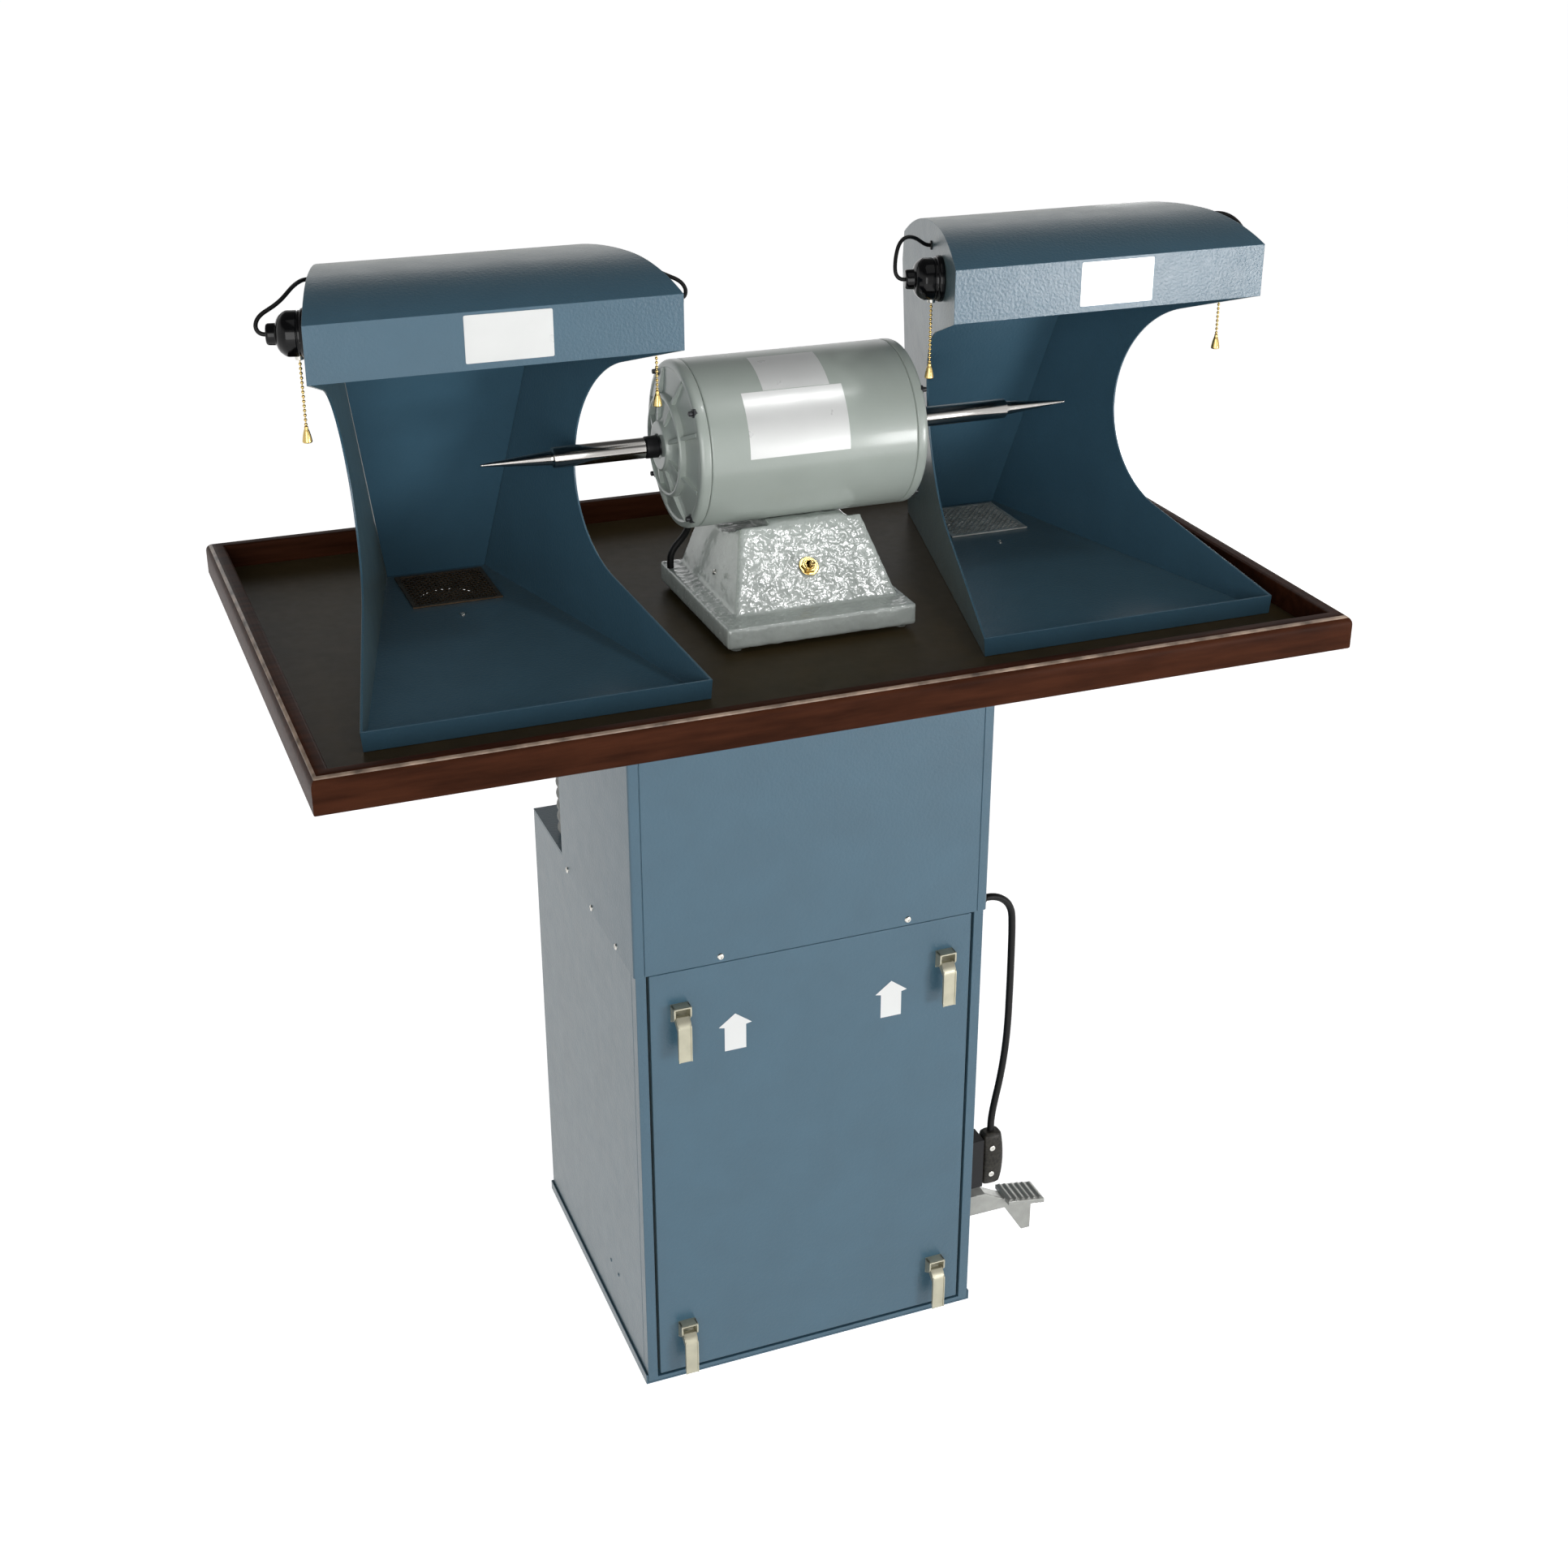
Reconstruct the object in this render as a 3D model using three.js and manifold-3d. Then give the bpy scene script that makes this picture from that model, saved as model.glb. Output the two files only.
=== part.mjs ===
// Double spindle polishing machine: a dust-collecting cabinet that carries a tray, a motor with two
// tapered spindles, and a lamp-lit hood at each end. Millimetres, +Z up, +Y to the rear, and the origin on
// the floor under the middle of the cabinet.
import * as THREE from "three";
import { mergeVertices } from "three/addons/utils/BufferGeometryUtils.js";
import Module from "manifold-3d";

// Clearances and stock
const gap = 0.3;
const overrun = 6;
const sheet = 2;

// Sides of round pieces, and steps along curves
const fineSides = 32;
const plainSides = 24;
const lampSides = 16;
const smallSides = 12;
const cordSides = 8;
const mainsCordSteps = 26;
const motorLeadSteps = 10;
const lampLeadSteps = 16;
const throatSteps = 14;
const scrollSteps = 26;
const domeSteps = 6;
const ballSteps = 4;

// Cabinet and its door frame
const cabinetWidth = 384;
const cabinetDepth = 378;
const cabinetHeight = 526;
const panFlange = 12;
const frameDepth = 14;
const stileWidth = 11;
const bottomRail = 7;
const stopLip = 9;
const doorClearance = 3;
const doorTopDrop = 14;
const skirtGap = 2;

// Door latches
const latchInset = 34;
const upperLatchDrop = 51;
const lowerLatchZ = 61;
const latchWidth = 19;
const latchWall = 2;
const latchDepth = 12;
const latchAbove = 14;
const latchBelow = 4;
const hubRadius = 4.4;
const paddleSideGap = 0.75;
const paddleFrontGap = 1.5;
const paddleThickness = 4;
const paddleTopDrop = 3;
const paddleLength = 43;

// Column under the tray
const columnHoseGap = 14;
const columnOpeningInset = 16;
const columnOpeningWidth = 104;
const columnOpeningFrontInset = 39;
const columnOpeningRear = 20;
const baffleDrop = 58;
const grilleSlotHeight = 6;
const grilleSlotPitch = 13;
const grilleSlotCount = 7;

// Tray, whose ends and sides lie at these margins from the hoods
const trayRise = 330;
const trayLeftMargin = 59.5;
const trayRightMargin = 37.5;
const trayFrontMargin = 89;
const trayRearMargin = 109;
const trayRecess = 25;
const boardThickness = 10;
const rimWidth = 18;

// Hoods, with rises and drops that follow from the throat round the spindle
const leftHoodX = -288.5;
const rightHoodX = 310.5;
const hoodFront = -249;
const hoodRear = 169;
const floorHalfFront = 160;
const floorHalfRear = 53.5;
const sideFlare = 27;
const lipHeight = 19;
const fasciaY = -171;
const fasciaRise = 27;
const fasciaDepth = 51;
const crestY = -85;
const crestRise = 21.5;
const roofRearInset = 72;
const roofRearDrop = 42;
const baffleLean = 112;
const rearWindowMargin = 12;
const throatRadius = 109;
const throatClearance = 5.7;
const ductInset = 57;
const floorHoleMargin = 9.5;
const floorHoleDepth = 84;
const screenBorder = 4;
const screenColumns = 6;
const screenRows = 6;
const screenWire = 3;
const screenThickness = 1.5;

// Lamps on the hoods' sides
const socketY = -109;
const socketDrop = 22;
const neckRadius = 16;
const neckLength = 16;
const neckWall = 2.4;
const socketBoreDepth = 13;
const collarRadius = 22;
const collarThickness = 6;
const bodyRadius = 20;
const bodyLength = 14;
const domeRadius = 13;
const domeLength = 7;
const nubRadius = 9.5;
const nubLength = 9;
const bulbRadius = 23;
const bulbLength = 78;
const bulbCapClearance = 0.6;
const bulbCapLength = 20;
const leadDiameter = 3.8;
const chainStandoff = 10;
const chainRadius = 1.6;
const chainDrop = 60;
const chainInside = 13;
const bellRadius = 4.5;
const bellLength = 15;

// Motor
const motorX = 37;
const motorY = -14;
const motorRadius = 83;
const motorLength = 215;
const motorWall = 4;
const bellDepth = 28;
const bellRim = 11;
const bellWeb = 6;
const bellRibWidth = 5;
const bellRibCount = 8;
const bellRingRadius = 46;
const bellRingWidth = 5;
const bellHubWall = 1.2;
const bearingOuter = 17.5;
const bearingWidth = 12;
const bearingSeatDepth = 10;
const statorLength = 90;
const statorInner = 50;
const airGap = 0.8;
const shaftRadius = 8;
const collarLength = 13.7;
const collarOuter = 11;

// Spindles
const spindleRadius = 10.3;
const spindleLength = 92.5;
const taperRadius = 7.5;
const taperLength = 71;
const shoulderLength = 1.2;
const tipRadius = 1.4;
const spindleBoreDepth = 30;

// Pedestal
const pedestalX = 20;
const pedestalWidth = 198;
const pedestalFront = -158;
const pedestalDepth = 208;
const pedestalFlange = 22;
const padHeight = 4;
const padRadius = 7;
const padInset = 12;
const towerFootLeft = 17;
const towerFootRight = 7;
const towerFootFront = 25;
const towerFootRear = 10;
const towerLeanLeft = 32;
const towerLeanRight = 15;
const towerLeanFront = 71;
const towerLeanRear = 0;
const towerHeight = 69;
const castWall = 9;
const saddleDepth = 8;
const saddleLeft = 0;
const saddleRight = 80;
const saddleRelief = 9;

// Motor lead and the toggle switch
const motorLeadDiameter = 7;
const switchX = 27;
const switchRiseShare = 0.46;
const switchBodyWidth = 16;
const switchBodyHeight = 24;
const switchBodyDepth = 22;
const switchBushRadius = 5.5;
const switchNutRadius = 8;
const switchNutLength = 3;
const toggleRadius = 2;
const toggleTipRadius = 3;
const toggleLength = 17;
const toggleBallRadius = 3.2;
const toggleLeanShare = 1 / 18;

// Air hoses from the tray to the cabinet
const hoseRadius = 34;
const hoseRibDepth = 3;
const hoseInletInset = 42;
const hoseStraight = 66;
const hoseRibs = 26;
const hoseSides = 8;
const ribsPerBoreRing = 5;
const inletCollarHeight = 16;

// Blower inside the column
const blowerX = -10;
const blowerY = -62;
const blowerFootRise = 16;
const scrollRadius = 96;
const scrollWidth = 96;
const blowerEyeRadius = 46;
const outletHeight = 62;
const scrollFootShare = 0.8;
const scrollHeelShare = 0.9;
const impellerRoom = 14;
const impellerWidth = 66;
const impellerPlate = 3;
const bladeCount = 12;
const bladeDepth = 22;
const bladeThickness = 2;
const blowerShaftRadius = 6;
const blowerMotorRadius = 52;
const blowerMotorLength = 105;

// Bag rack, bags and the rail they rest on
const railDrop = 60;
const railWidth = 14;
const rackFrontInset = 29;
const rackRearGap = 6;
const rackThickness = 3;
const bagX = 84;
const bagWidth = 132;
const bagFrontInset = 33;
const bagRearInset = 27;
const bagLength = 330;
const bagTaperShare = 0.86;
const bagMouthShare = 0.7;
const liftRodInset = 60;
const liftRodRadius = 4;
const liftRodLeverGap = 3;

// Foot pedal and its bracket
const pedalPivotInset = 26;
const pedalPivotZ = 104;
const pedalArm = 12;
const pedalThickness = 26;
const pedalWidth = 16;
const pedalPadReach = 60;
const pedalPadLength = 46;
const pedalPadWidth = 36;
const pedalPadThickness = 6;
const pedalPadRise = 2;
const pedalPadFall = 8;
const pedalPadRibs = 6;
const pedalRibHeight = 2;
const pedalHeelDrop = 50;
const pedalHeelWidth = 11;
const pedalHeelInset = 12;
const pedalPin = 4;
const pedalSlotRoom = 20;
const cheekThickness = 3;

// Mains cord, gland, plug and the outlet it sits in
const cordDiameter = 8;
const cordInset = 39;
const glandDrop = 23;
const glandRadius = 9;
const glandTipRadius = 6;
const glandLength = 22;
const glandNeck = 6;
const plugReach = 41;
const plugRise = 95;
const plugHeight = 70;
const plugThickness = 27;
const plugWidth = 27;
const plugTailWidth = 15;
const outletWidth = 25;
const outletBlockHeight = 64;
const prongLength = 12;
const prongWidth = 6.5;
const prongThickness = 1.6;
const prongSpacing = 12.7;

// Chosen route points of the cords: x, y and z
const cordRoute = [
  [214.3, -150, 503], [216.5, -150, 503], [220.7, -150, 502.7], [225.8, -150, 501.5],
  [230.6, -150, 499.5], [235, -150, 496.6], [238.8, -150, 493.1], [241.9, -150, 488.9],
  [244.2, -150, 484.2], [245.6, -150, 480], [246.6, -150, 474], [247.2, -150, 465], [247.7, -150, 452],
  [248, -150, 436], [248.2, -150, 418], [248.4, -150, 396], [248.4, -150, 370], [248.2, -150, 342],
  [247, -150, 314], [244.6, -150, 288], [241, -150, 262], [237, -150, 240], [234.4, -150, 224],
  [233.1, -150, 211.5], [233, -150, 199.3],
];

// Points of a lamp lead on each hood: out from the side sheet, to the rear along it, and up along it
const leftHoodLeadRoute = [
  [36.4, 0, 0], [37.6, 0, 0], [40.1, 0.2, 0.5], [42.4, 0.6, 1.9], [44, 1.3, 4.2], [44.5, 2.2, 7.2],
  [43.6, 3.6, 10.6], [41.4, 5.4, 13.8], [37.8, 7.8, 16.6], [33.2, 10.6, 19], [28.2, 14.4, 21.6],
  [23.6, 19.8, 24.4], [19.6, 27, 27.4], [16.2, 36, 29.9], [13, 46, 31.4], [9.8, 54.6, 32.1], [8.4, 57.9, 32.2],
  [7.2, 60.2, 32.2], [5.2, 62.7, 32.1], [2.9, 64, 32], [0.3, 64.5, 32],
];
const rightHoodLeadRoute = [
  [36.4, 0, 0], [37.6, 0, 0], [40.1, 0.2, 0.5], [42.4, 0.6, 1.9], [44.1, 1.2, 4.1], [45, 2, 7],
  [45.2, 3.4, 11], [44.6, 5.8, 16.5], [43.2, 9.4, 22], [41, 14.2, 27], [37.6, 20, 31], [33.2, 26, 33.2],
  [28, 32, 33.4], [22.8, 38, 31.8], [17.8, 44, 29], [13.2, 49.6, 25.6], [9.6, 53.4, 22.8],
  [6.8, 55.9, 21], [4.3, 57.3, 20], [2.2, 57.9, 19.6], [0.3, 58, 19.5],
];

// Points of the motor lead from the shell down to the pedestal: x from its left side, y, z above the board
const motorLeadRoute = [
  [23, 18, 82.4], [22.8, 18.2, 77], [21.5, 19.5, 70], [18.5, 21.5, 62.5], [14, 23.5, 55.5],
  [8.5, 25, 48.5], [4.5, 25.5, 40.5], [3.5, 25.5, 32.5], [3.5, 25.5, 26.6],
];

// Finishes
const bluePaint = { color: 0x4a6885, roughness: 0.5, metalness: 0.1 };
const greyPaint = { color: 0x8f9a98, roughness: 0.42, metalness: 0.1 };
const castPaint = { color: 0xa4acab, roughness: 0.35, metalness: 0.2 };
const mahogany = { color: 0x45170f, roughness: 0.45, metalness: 0 };
const trayBrown = { color: 0x3a2a20, roughness: 0.4, metalness: 0 };
const polishedSteel = { color: 0xb9b6b0, roughness: 0.2, metalness: 1 };
const darkSteel = { color: 0x3c3f42, roughness: 0.5, metalness: 0.8 };
const zinc = { color: 0xbdb9a0, roughness: 0.4, metalness: 0.5 };
const brass = { color: 0xb59a4a, roughness: 0.3, metalness: 1 };
const blackGloss = { color: 0x0c0c0d, roughness: 0.15, metalness: 0 };
const blackRubber = { color: 0x161616, roughness: 0.6, metalness: 0 };
const aluminium = { color: 0xbfc0b8, roughness: 0.4, metalness: 0.7 };
const copper = { color: 0x9a5a34, roughness: 0.5, metalness: 0.6 };
const glass = { color: 0xf2efe2, roughness: 0.2, metalness: 0 };
const filterCloth = { color: 0xc9c2ad, roughness: 0.95, metalness: 0 };
const hoseGrey = { color: 0x8c8f8a, roughness: 0.6, metalness: 0 };

const wasm = await Module();
wasm.setup();
const machine = new THREE.Group();

// Places worked out from the sizes above
const halfWidth = cabinetWidth / 2;
const cabinetFront = -cabinetDepth / 2;
const cabinetRear = cabinetDepth / 2;
const panTop = sheet + gap;
const wallTop = cabinetHeight - sheet - gap;
const doorTop = cabinetHeight - doorTopDrop;
const openingBottom = bottomRail;
const openingTop = doorTop + doorClearance;
const openingHalf = halfWidth - stileWidth;
const latchX = openingHalf - latchInset;
const hubStandoff = latchDepth / 2;
const trayTop = cabinetHeight + trayRise;
const boardTop = trayTop - trayRecess;
const boardBottom = boardTop - boardThickness;
const hoodBase = boardTop + gap;
const pedestalBase = boardTop + gap;
const pedestalLeft = pedestalX - pedestalWidth / 2;
const pedestalRight = pedestalX + pedestalWidth / 2;
const pedestalRear = pedestalFront + pedestalDepth;
const towerFoot = [
  pedestalLeft + towerFootLeft, pedestalRight - towerFootRight,
  pedestalFront + towerFootFront, pedestalRear - towerFootRear,
];
const towerHead = [
  towerFoot[0] + towerLeanLeft, towerFoot[1] - towerLeanRight,
  towerFoot[2] + towerLeanFront, towerFoot[3] - towerLeanRear,
];
const flangeBottom = pedestalBase + padHeight;
const flangeTop = flangeBottom + pedestalFlange;
const headZ = flangeTop + towerHeight;
const axisHeight = padHeight + pedestalFlange + towerHeight + motorRadius - saddleDepth;
const axisZ = boardTop + axisHeight;
const bearingInner = shaftRadius + gap;
const bellHubRadius = bearingOuter + gap + bellWeb + bellHubWall;
const throatHeight = axisHeight;
const throatY = motorY + spindleRadius + throatClearance - throatRadius;
const fasciaBottom = throatHeight + throatRadius + fasciaRise;
const fasciaTop = fasciaBottom + fasciaDepth;
const crestHeight = fasciaTop + crestRise;
const roofRearHeight = crestHeight - roofRearDrop;
const roofRearY = hoodRear - roofRearInset;
const socketHeight = fasciaTop - socketDrop;
const socketBore = neckRadius - neckWall;
const ductY = hoodRear - ductInset;
const ductRadius = hoseRadius - hoseRibDepth;
const floorHoleWidth = 2 * (floorHalfRear - sheet - floorHoleMargin);
const trayLeft = leftHoodX - floorHalfFront - trayLeftMargin;
const trayRight = rightHoodX + floorHalfFront + trayRightMargin;
const trayFront = hoodFront - trayFrontMargin;
const trayRear = hoodRear + trayRearMargin;
const columnInner = halfWidth + gap;
const columnBottom = doorTop + skirtGap;
const columnTop = boardBottom - gap;
const columnRear = ductY - hoseRadius - columnHoseGap;
const hoseInletX = halfWidth - hoseInletInset;
const scrollCentreZ = cabinetHeight + scrollRadius + blowerFootRise;
const impellerRadius = scrollRadius - sheet - impellerRoom;
const outletBottom = scrollCentreZ + scrollRadius - outletHeight;
const railZ = cabinetHeight - railDrop;
const rackFront = cabinetFront + rackFrontInset;
const rackRear = columnRear - rackRearGap;
const bagFront = rackFront + bagFrontInset;
const bagRear = rackRear - bagRearInset;
const bagY = (bagFront + bagRear) / 2;
const bagDepth = bagRear - bagFront;
const cordY = cabinetFront + cordInset;
const glandZ = cabinetHeight - glandDrop;
const pedalPivotX = halfWidth - pedalPivotInset;
const pedalPadStart = halfWidth + pedalPadReach;
const liftRodX = halfWidth - liftRodInset;
const liftRodY = cordY + pedalWidth / 4;
const liftRodBottom = pedalPivotZ + pedalThickness / 2 + liftRodLeverGap;
const plugX = halfWidth + plugReach;
const plugTop = pedalPivotZ + plugRise;

// Signed volume, which tells whether a mesh's faces point out
function signedVolume(points, triangles) {
  const corners = [new THREE.Vector3(), new THREE.Vector3(), new THREE.Vector3()];
  let sum = 0;
  for (let i = 0; i < triangles.length; i += 3) {
    corners.forEach((corner, k) => corner.fromArray(points, triangles[i + k] * 3));
    sum += corners[0].dot(corners[1].clone().cross(corners[2]));
  }
  return sum;
}

// A closed geometry as a solid that can be joined and cut
function solid(geometry) {
  const bare = geometry.clone();
  bare.deleteAttribute("normal");
  bare.deleteAttribute("uv");
  const merged = mergeVertices(bare);
  const points = new Float32Array(merged.attributes.position.array);
  const kept = [];
  for (let i = 0; i < merged.index.count; i += 3) {
    const [a, b, c] = [0, 1, 2].map((k) => merged.index.getX(i + k));
    if (a !== b && b !== c && c !== a) kept.push(a, b, c);
  }
  const outward = signedVolume(points, kept) > 0;
  const triVerts = new Uint32Array(outward ? kept : kept.slice().reverse());
  return new wasm.Manifold(new wasm.Mesh({ numProp: 3, vertProperties: points, triVerts }));
}

// One named mesh for one piece
function piece(name, shape, finish, parent = machine) {
  const { vertProperties, triVerts } = shape.getMesh();
  const geometry = new THREE.BufferGeometry();
  geometry.setAttribute("position", new THREE.BufferAttribute(vertProperties, 3));
  geometry.setIndex(new THREE.BufferAttribute(triVerts, 1));
  geometry.computeVertexNormals();
  const mesh = new THREE.Mesh(geometry, new THREE.MeshStandardMaterial(finish));
  mesh.name = name;
  parent.add(mesh);
  return mesh;
}

function joined(...shapes) {
  return shapes.reduce((sum, shape) => sum.add(shape));
}

function block(x0, x1, y0, y1, z0, z1) {
  const geometry = new THREE.BoxGeometry(x1 - x0, y1 - y0, z1 - z0);
  geometry.translate((x0 + x1) / 2, (y0 + y1) / 2, (z0 + z1) / 2);
  return solid(geometry);
}

// A block whose foot and head are different rectangles, given as x0, x1, y0, y1
function tapered(foot, footZ, head, headZ) {
  const geometry = new THREE.BoxGeometry(1, 1, 1);
  const places = geometry.attributes.position;
  for (let i = 0; i < places.count; i += 1) {
    const side = places.getZ(i) > 0 ? head : foot;
    const x = places.getX(i) > 0 ? side[1] : side[0];
    const y = places.getY(i) > 0 ? side[3] : side[2];
    places.setXYZ(i, x, y, places.getZ(i) > 0 ? headZ : footZ);
  }
  return solid(geometry);
}

// Outlines drawn in two coordinates and extruded along the third
function extruded(points, length, basis) {
  const shape = new THREE.Shape(points.map(([a, b]) => new THREE.Vector2(a, b)));
  const straight = { depth: length, bevelEnabled: false, curveSegments: 1 };
  const geometry = new THREE.ExtrudeGeometry(shape, straight);
  geometry.applyMatrix4(basis);
  return geometry;
}

const alongX = new THREE.Matrix4().set(0, 0, 1, 0, 1, 0, 0, 0, 0, 1, 0, 0, 0, 0, 0, 1);
const alongY = new THREE.Matrix4().set(1, 0, 0, 0, 0, 0, -1, 0, 0, 1, 0, 0, 0, 0, 0, 1);

function prismX(points, x0, x1) {
  return solid(extruded(points, x1 - x0, alongX).translate(x0, 0, 0));
}

function prismY(points, y0, y1) {
  return solid(extruded(points, y1 - y0, alongY).translate(0, y1, 0));
}

// Turned pieces: a profile of radius and place along an axis that starts at a point
function turned(profile, sides, axis, start = [0, 0, 0]) {
  const geometry = new THREE.LatheGeometry(profile.map(([r, s]) => new THREE.Vector2(r, s)), sides);
  const turn = new THREE.Quaternion().setFromUnitVectors(new THREE.Vector3(0, 1, 0), axis);
  geometry.applyQuaternion(turn).translate(...start);
  return solid(geometry);
}

const xAxis = new THREE.Vector3(1, 0, 0);
const yAxis = new THREE.Vector3(0, 1, 0);
const zAxis = new THREE.Vector3(0, 0, 1);

function rod(radius, from, to, sides, axis, start) {
  return turned([[0, from], [radius, from], [radius, to], [0, to]], sides, axis, start);
}

function ring(outer, inner, from, to, sides, axis, start) {
  const profile = [[inner, from], [outer, from], [outer, to], [inner, to], [inner, from]];
  return turned(profile, sides, axis, start);
}

function arc(centreA, centreB, radius, fromAngle, toAngle, steps) {
  return Array.from({ length: steps + 1 }, (_, i) => {
    const angle = fromAngle + ((toAngle - fromAngle) * i) / steps;
    return [centreA + radius * Math.cos(angle), centreB + radius * Math.sin(angle)];
  });
}

// An outline moved in by one thickness, each corner where its two moved edges meet
function inset(points, distance) {
  const area = points.reduce((sum, [a, b], i) => {
    const [c, d] = points[(i + 1) % points.length];
    return sum + a * d - c * b;
  }, 0);
  const turnSign = Math.sign(area);
  const lines = points.map(([a, b], i) => {
    const [c, d] = points[(i + 1) % points.length];
    const length = Math.hypot(c - a, d - b);
    const [u, v] = [(c - a) / length, (d - b) / length];
    return { a: a - v * distance * turnSign, b: b + u * distance * turnSign, u, v };
  });
  return lines.map((line, i) => {
    const last = lines[(i + lines.length - 1) % lines.length];
    const cross = last.u * line.v - last.v * line.u;
    const t = ((line.a - last.a) * line.v - (line.b - last.b) * line.u) / cross;
    return [last.a + last.u * t, last.b + last.v * t];
  });
}

// A plain round cord along its route
function cord(route, diameter, steps) {
  const points = route.map((point) => new THREE.Vector3(...point));
  const path = new THREE.CatmullRomCurve3(points, false, "centripetal");
  const rim = arc(0, 0, diameter / 2, 0, 2 * Math.PI, cordSides).slice(1);
  const circle = new THREE.Shape(rim.map((point) => new THREE.Vector2(...point)));
  return solid(new THREE.ExtrudeGeometry(circle, { steps, bevelEnabled: false, extrudePath: path }));
}

// Cabinet base, walls, top and door frame
function basePan() {
  const outer = halfWidth + gap + sheet;
  const tray = block(-outer, outer, cabinetFront, cabinetRear + gap + sheet, 0, panFlange);
  const inner = halfWidth + gap;
  const inside = block(-inner, inner, cabinetFront - overrun, cabinetRear + gap, sheet, panFlange + overrun);
  return tray.subtract(inside);
}

function cabinetShell() {
  const wallFront = cabinetFront + frameDepth + gap;
  const inside = halfWidth - sheet;
  const walls = block(-halfWidth, halfWidth, wallFront, cabinetRear, panTop, wallTop).subtract(
    block(-inside, inside, wallFront - overrun, cabinetRear - sheet, panTop - overrun, wallTop + overrun),
  );
  const rails = [-1, 1].map((side) => {
    const edges = [side * (inside - railWidth), side * (inside + sheet / 2)].sort((a, b) => a - b);
    return block(...edges, rackFront, rackRear, railZ - sheet, railZ);
  });
  const slot = block(
    inside - overrun, halfWidth + overrun,
    cordY - pedalWidth / 2 - sheet, cordY + pedalWidth / 2 + sheet,
    pedalPivotZ - (pedalThickness + pedalSlotRoom) / 2, pedalPivotZ + (pedalThickness + pedalSlotRoom) / 2,
  );
  const glandHole = rod(
    glandNeck + gap, inside - overrun, halfWidth + overrun, plainSides, xAxis, [0, cordY, glandZ],
  );
  return joined(walls, ...rails).subtract(slot).subtract(glandHole);
}

function cabinetTopPlate() {
  const plateBottom = wallTop + gap;
  const plate = block(-halfWidth, halfWidth, cabinetFront, cabinetRear, plateBottom, cabinetHeight);
  const baffleHalf = halfWidth - sheet - gap;
  const baffleFront = rackRear + gap * 2;
  const baffle = block(
    -baffleHalf, baffleHalf, baffleFront, baffleFront + sheet,
    plateBottom - baffleDrop, plateBottom + sheet / 2,
  );
  const collarOutside = (hoseRadius - hoseRibDepth - sheet) * Math.cos(Math.PI / hoseSides) - gap;
  const collarTop = cabinetHeight + inletCollarHeight;
  const collars = [-1, 1].map((side) => rod(
    collarOutside, plateBottom, collarTop, plainSides, zAxis, [side * hoseInletX, ductY, 0],
  ));
  const bores = [-1, 1].map((side) => rod(
    collarOutside - sheet, plateBottom - overrun, collarTop + overrun, plainSides, zAxis,
    [side * hoseInletX, ductY, 0],
  ));
  const openingLeft = -halfWidth + columnOpeningInset;
  const opening = block(
    openingLeft, openingLeft + columnOpeningWidth,
    cabinetFront + columnOpeningFrontInset, columnOpeningRear,
    plateBottom - overrun, cabinetHeight + overrun,
  );
  const whole = joined(plate, baffle, ...collars);
  return bores.reduce((sum, bore) => sum.subtract(bore), whole).subtract(opening);
}

function doorFrame() {
  const back = cabinetFront + frameDepth;
  const lipFront = back - sheet;
  const lipHalf = openingHalf - stopLip;
  const recess = block(
    -openingHalf, openingHalf, cabinetFront - overrun, lipFront, openingBottom, openingTop,
  );
  const doorway = block(
    -lipHalf, lipHalf, lipFront - overrun, back + overrun, openingBottom + stopLip, openingTop - stopLip,
  );
  const frame = block(-halfWidth, halfWidth, cabinetFront, back, panTop, wallTop);
  return frame.subtract(recess).subtract(doorway);
}

// Door pan with its four latch housings
const latchPlaces = [
  ["upper_left", -latchX, doorTop - upperLatchDrop],
  ["upper_right", latchX, doorTop - upperLatchDrop],
  ["lower_left", -latchX, lowerLatchZ],
  ["lower_right", latchX, lowerLatchZ],
];

function latchHousing(x, z) {
  const half = latchWidth / 2;
  const outer = block(
    x - half, x + half, cabinetFront - latchDepth, cabinetFront + sheet / 2, z - latchBelow, z + latchAbove,
  );
  const inner = half - latchWall;
  return outer.subtract(block(
    x - inner, x + inner, cabinetFront - latchDepth - overrun, cabinetFront, z - latchBelow - overrun,
    z + latchAbove - latchWall,
  ));
}

function door() {
  const half = openingHalf - doorClearance;
  const bottom = openingBottom + doorClearance;
  const back = cabinetFront + frameDepth - sheet - gap;
  const pan = block(-half, half, cabinetFront, back, bottom, doorTop).subtract(
    block(
      -half + sheet, half - sheet, cabinetFront + sheet, back + overrun,
      bottom + sheet, doorTop - sheet,
    ),
  );
  return joined(pan, ...latchPlaces.map(([, x, z]) => latchHousing(x, z)));
}

function latchLever(x, z) {
  const hubY = cabinetFront - hubStandoff;
  const hubHalf = latchWidth / 2 - latchWall - gap;
  const hub = rod(hubRadius, x - hubHalf, x + hubHalf, smallSides, xAxis, [0, hubY, z]);
  const inner = hubY - hubStandoff - paddleFrontGap;
  const paddleWidth = latchWidth - 2 * (latchWall + paddleSideGap);
  const outer = inner - paddleThickness;
  const top = z - paddleTopDrop;
  const side = [
    [hubY, z + hubRadius / 2], [outer, top], [outer, z - paddleLength - paddleTopDrop],
    [inner, z - paddleLength - paddleTopDrop], [inner, top - paddleThickness], [hubY, z - hubRadius / 2],
  ];
  return joined(hub, prismX(side, x - paddleWidth / 2, x + paddleWidth / 2));
}

// Column: a folded sheet round the front and sides, and a rear panel with an exhaust grille
function columnShell() {
  const outer = columnInner + sheet;
  const front = cabinetFront - gap - sheet;
  const inside = block(
    -columnInner, columnInner, front + sheet, columnRear + overrun,
    columnBottom - overrun, columnTop + overrun,
  );
  return block(-outer, outer, front, columnRear, columnBottom, columnTop).subtract(inside);
}

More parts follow.
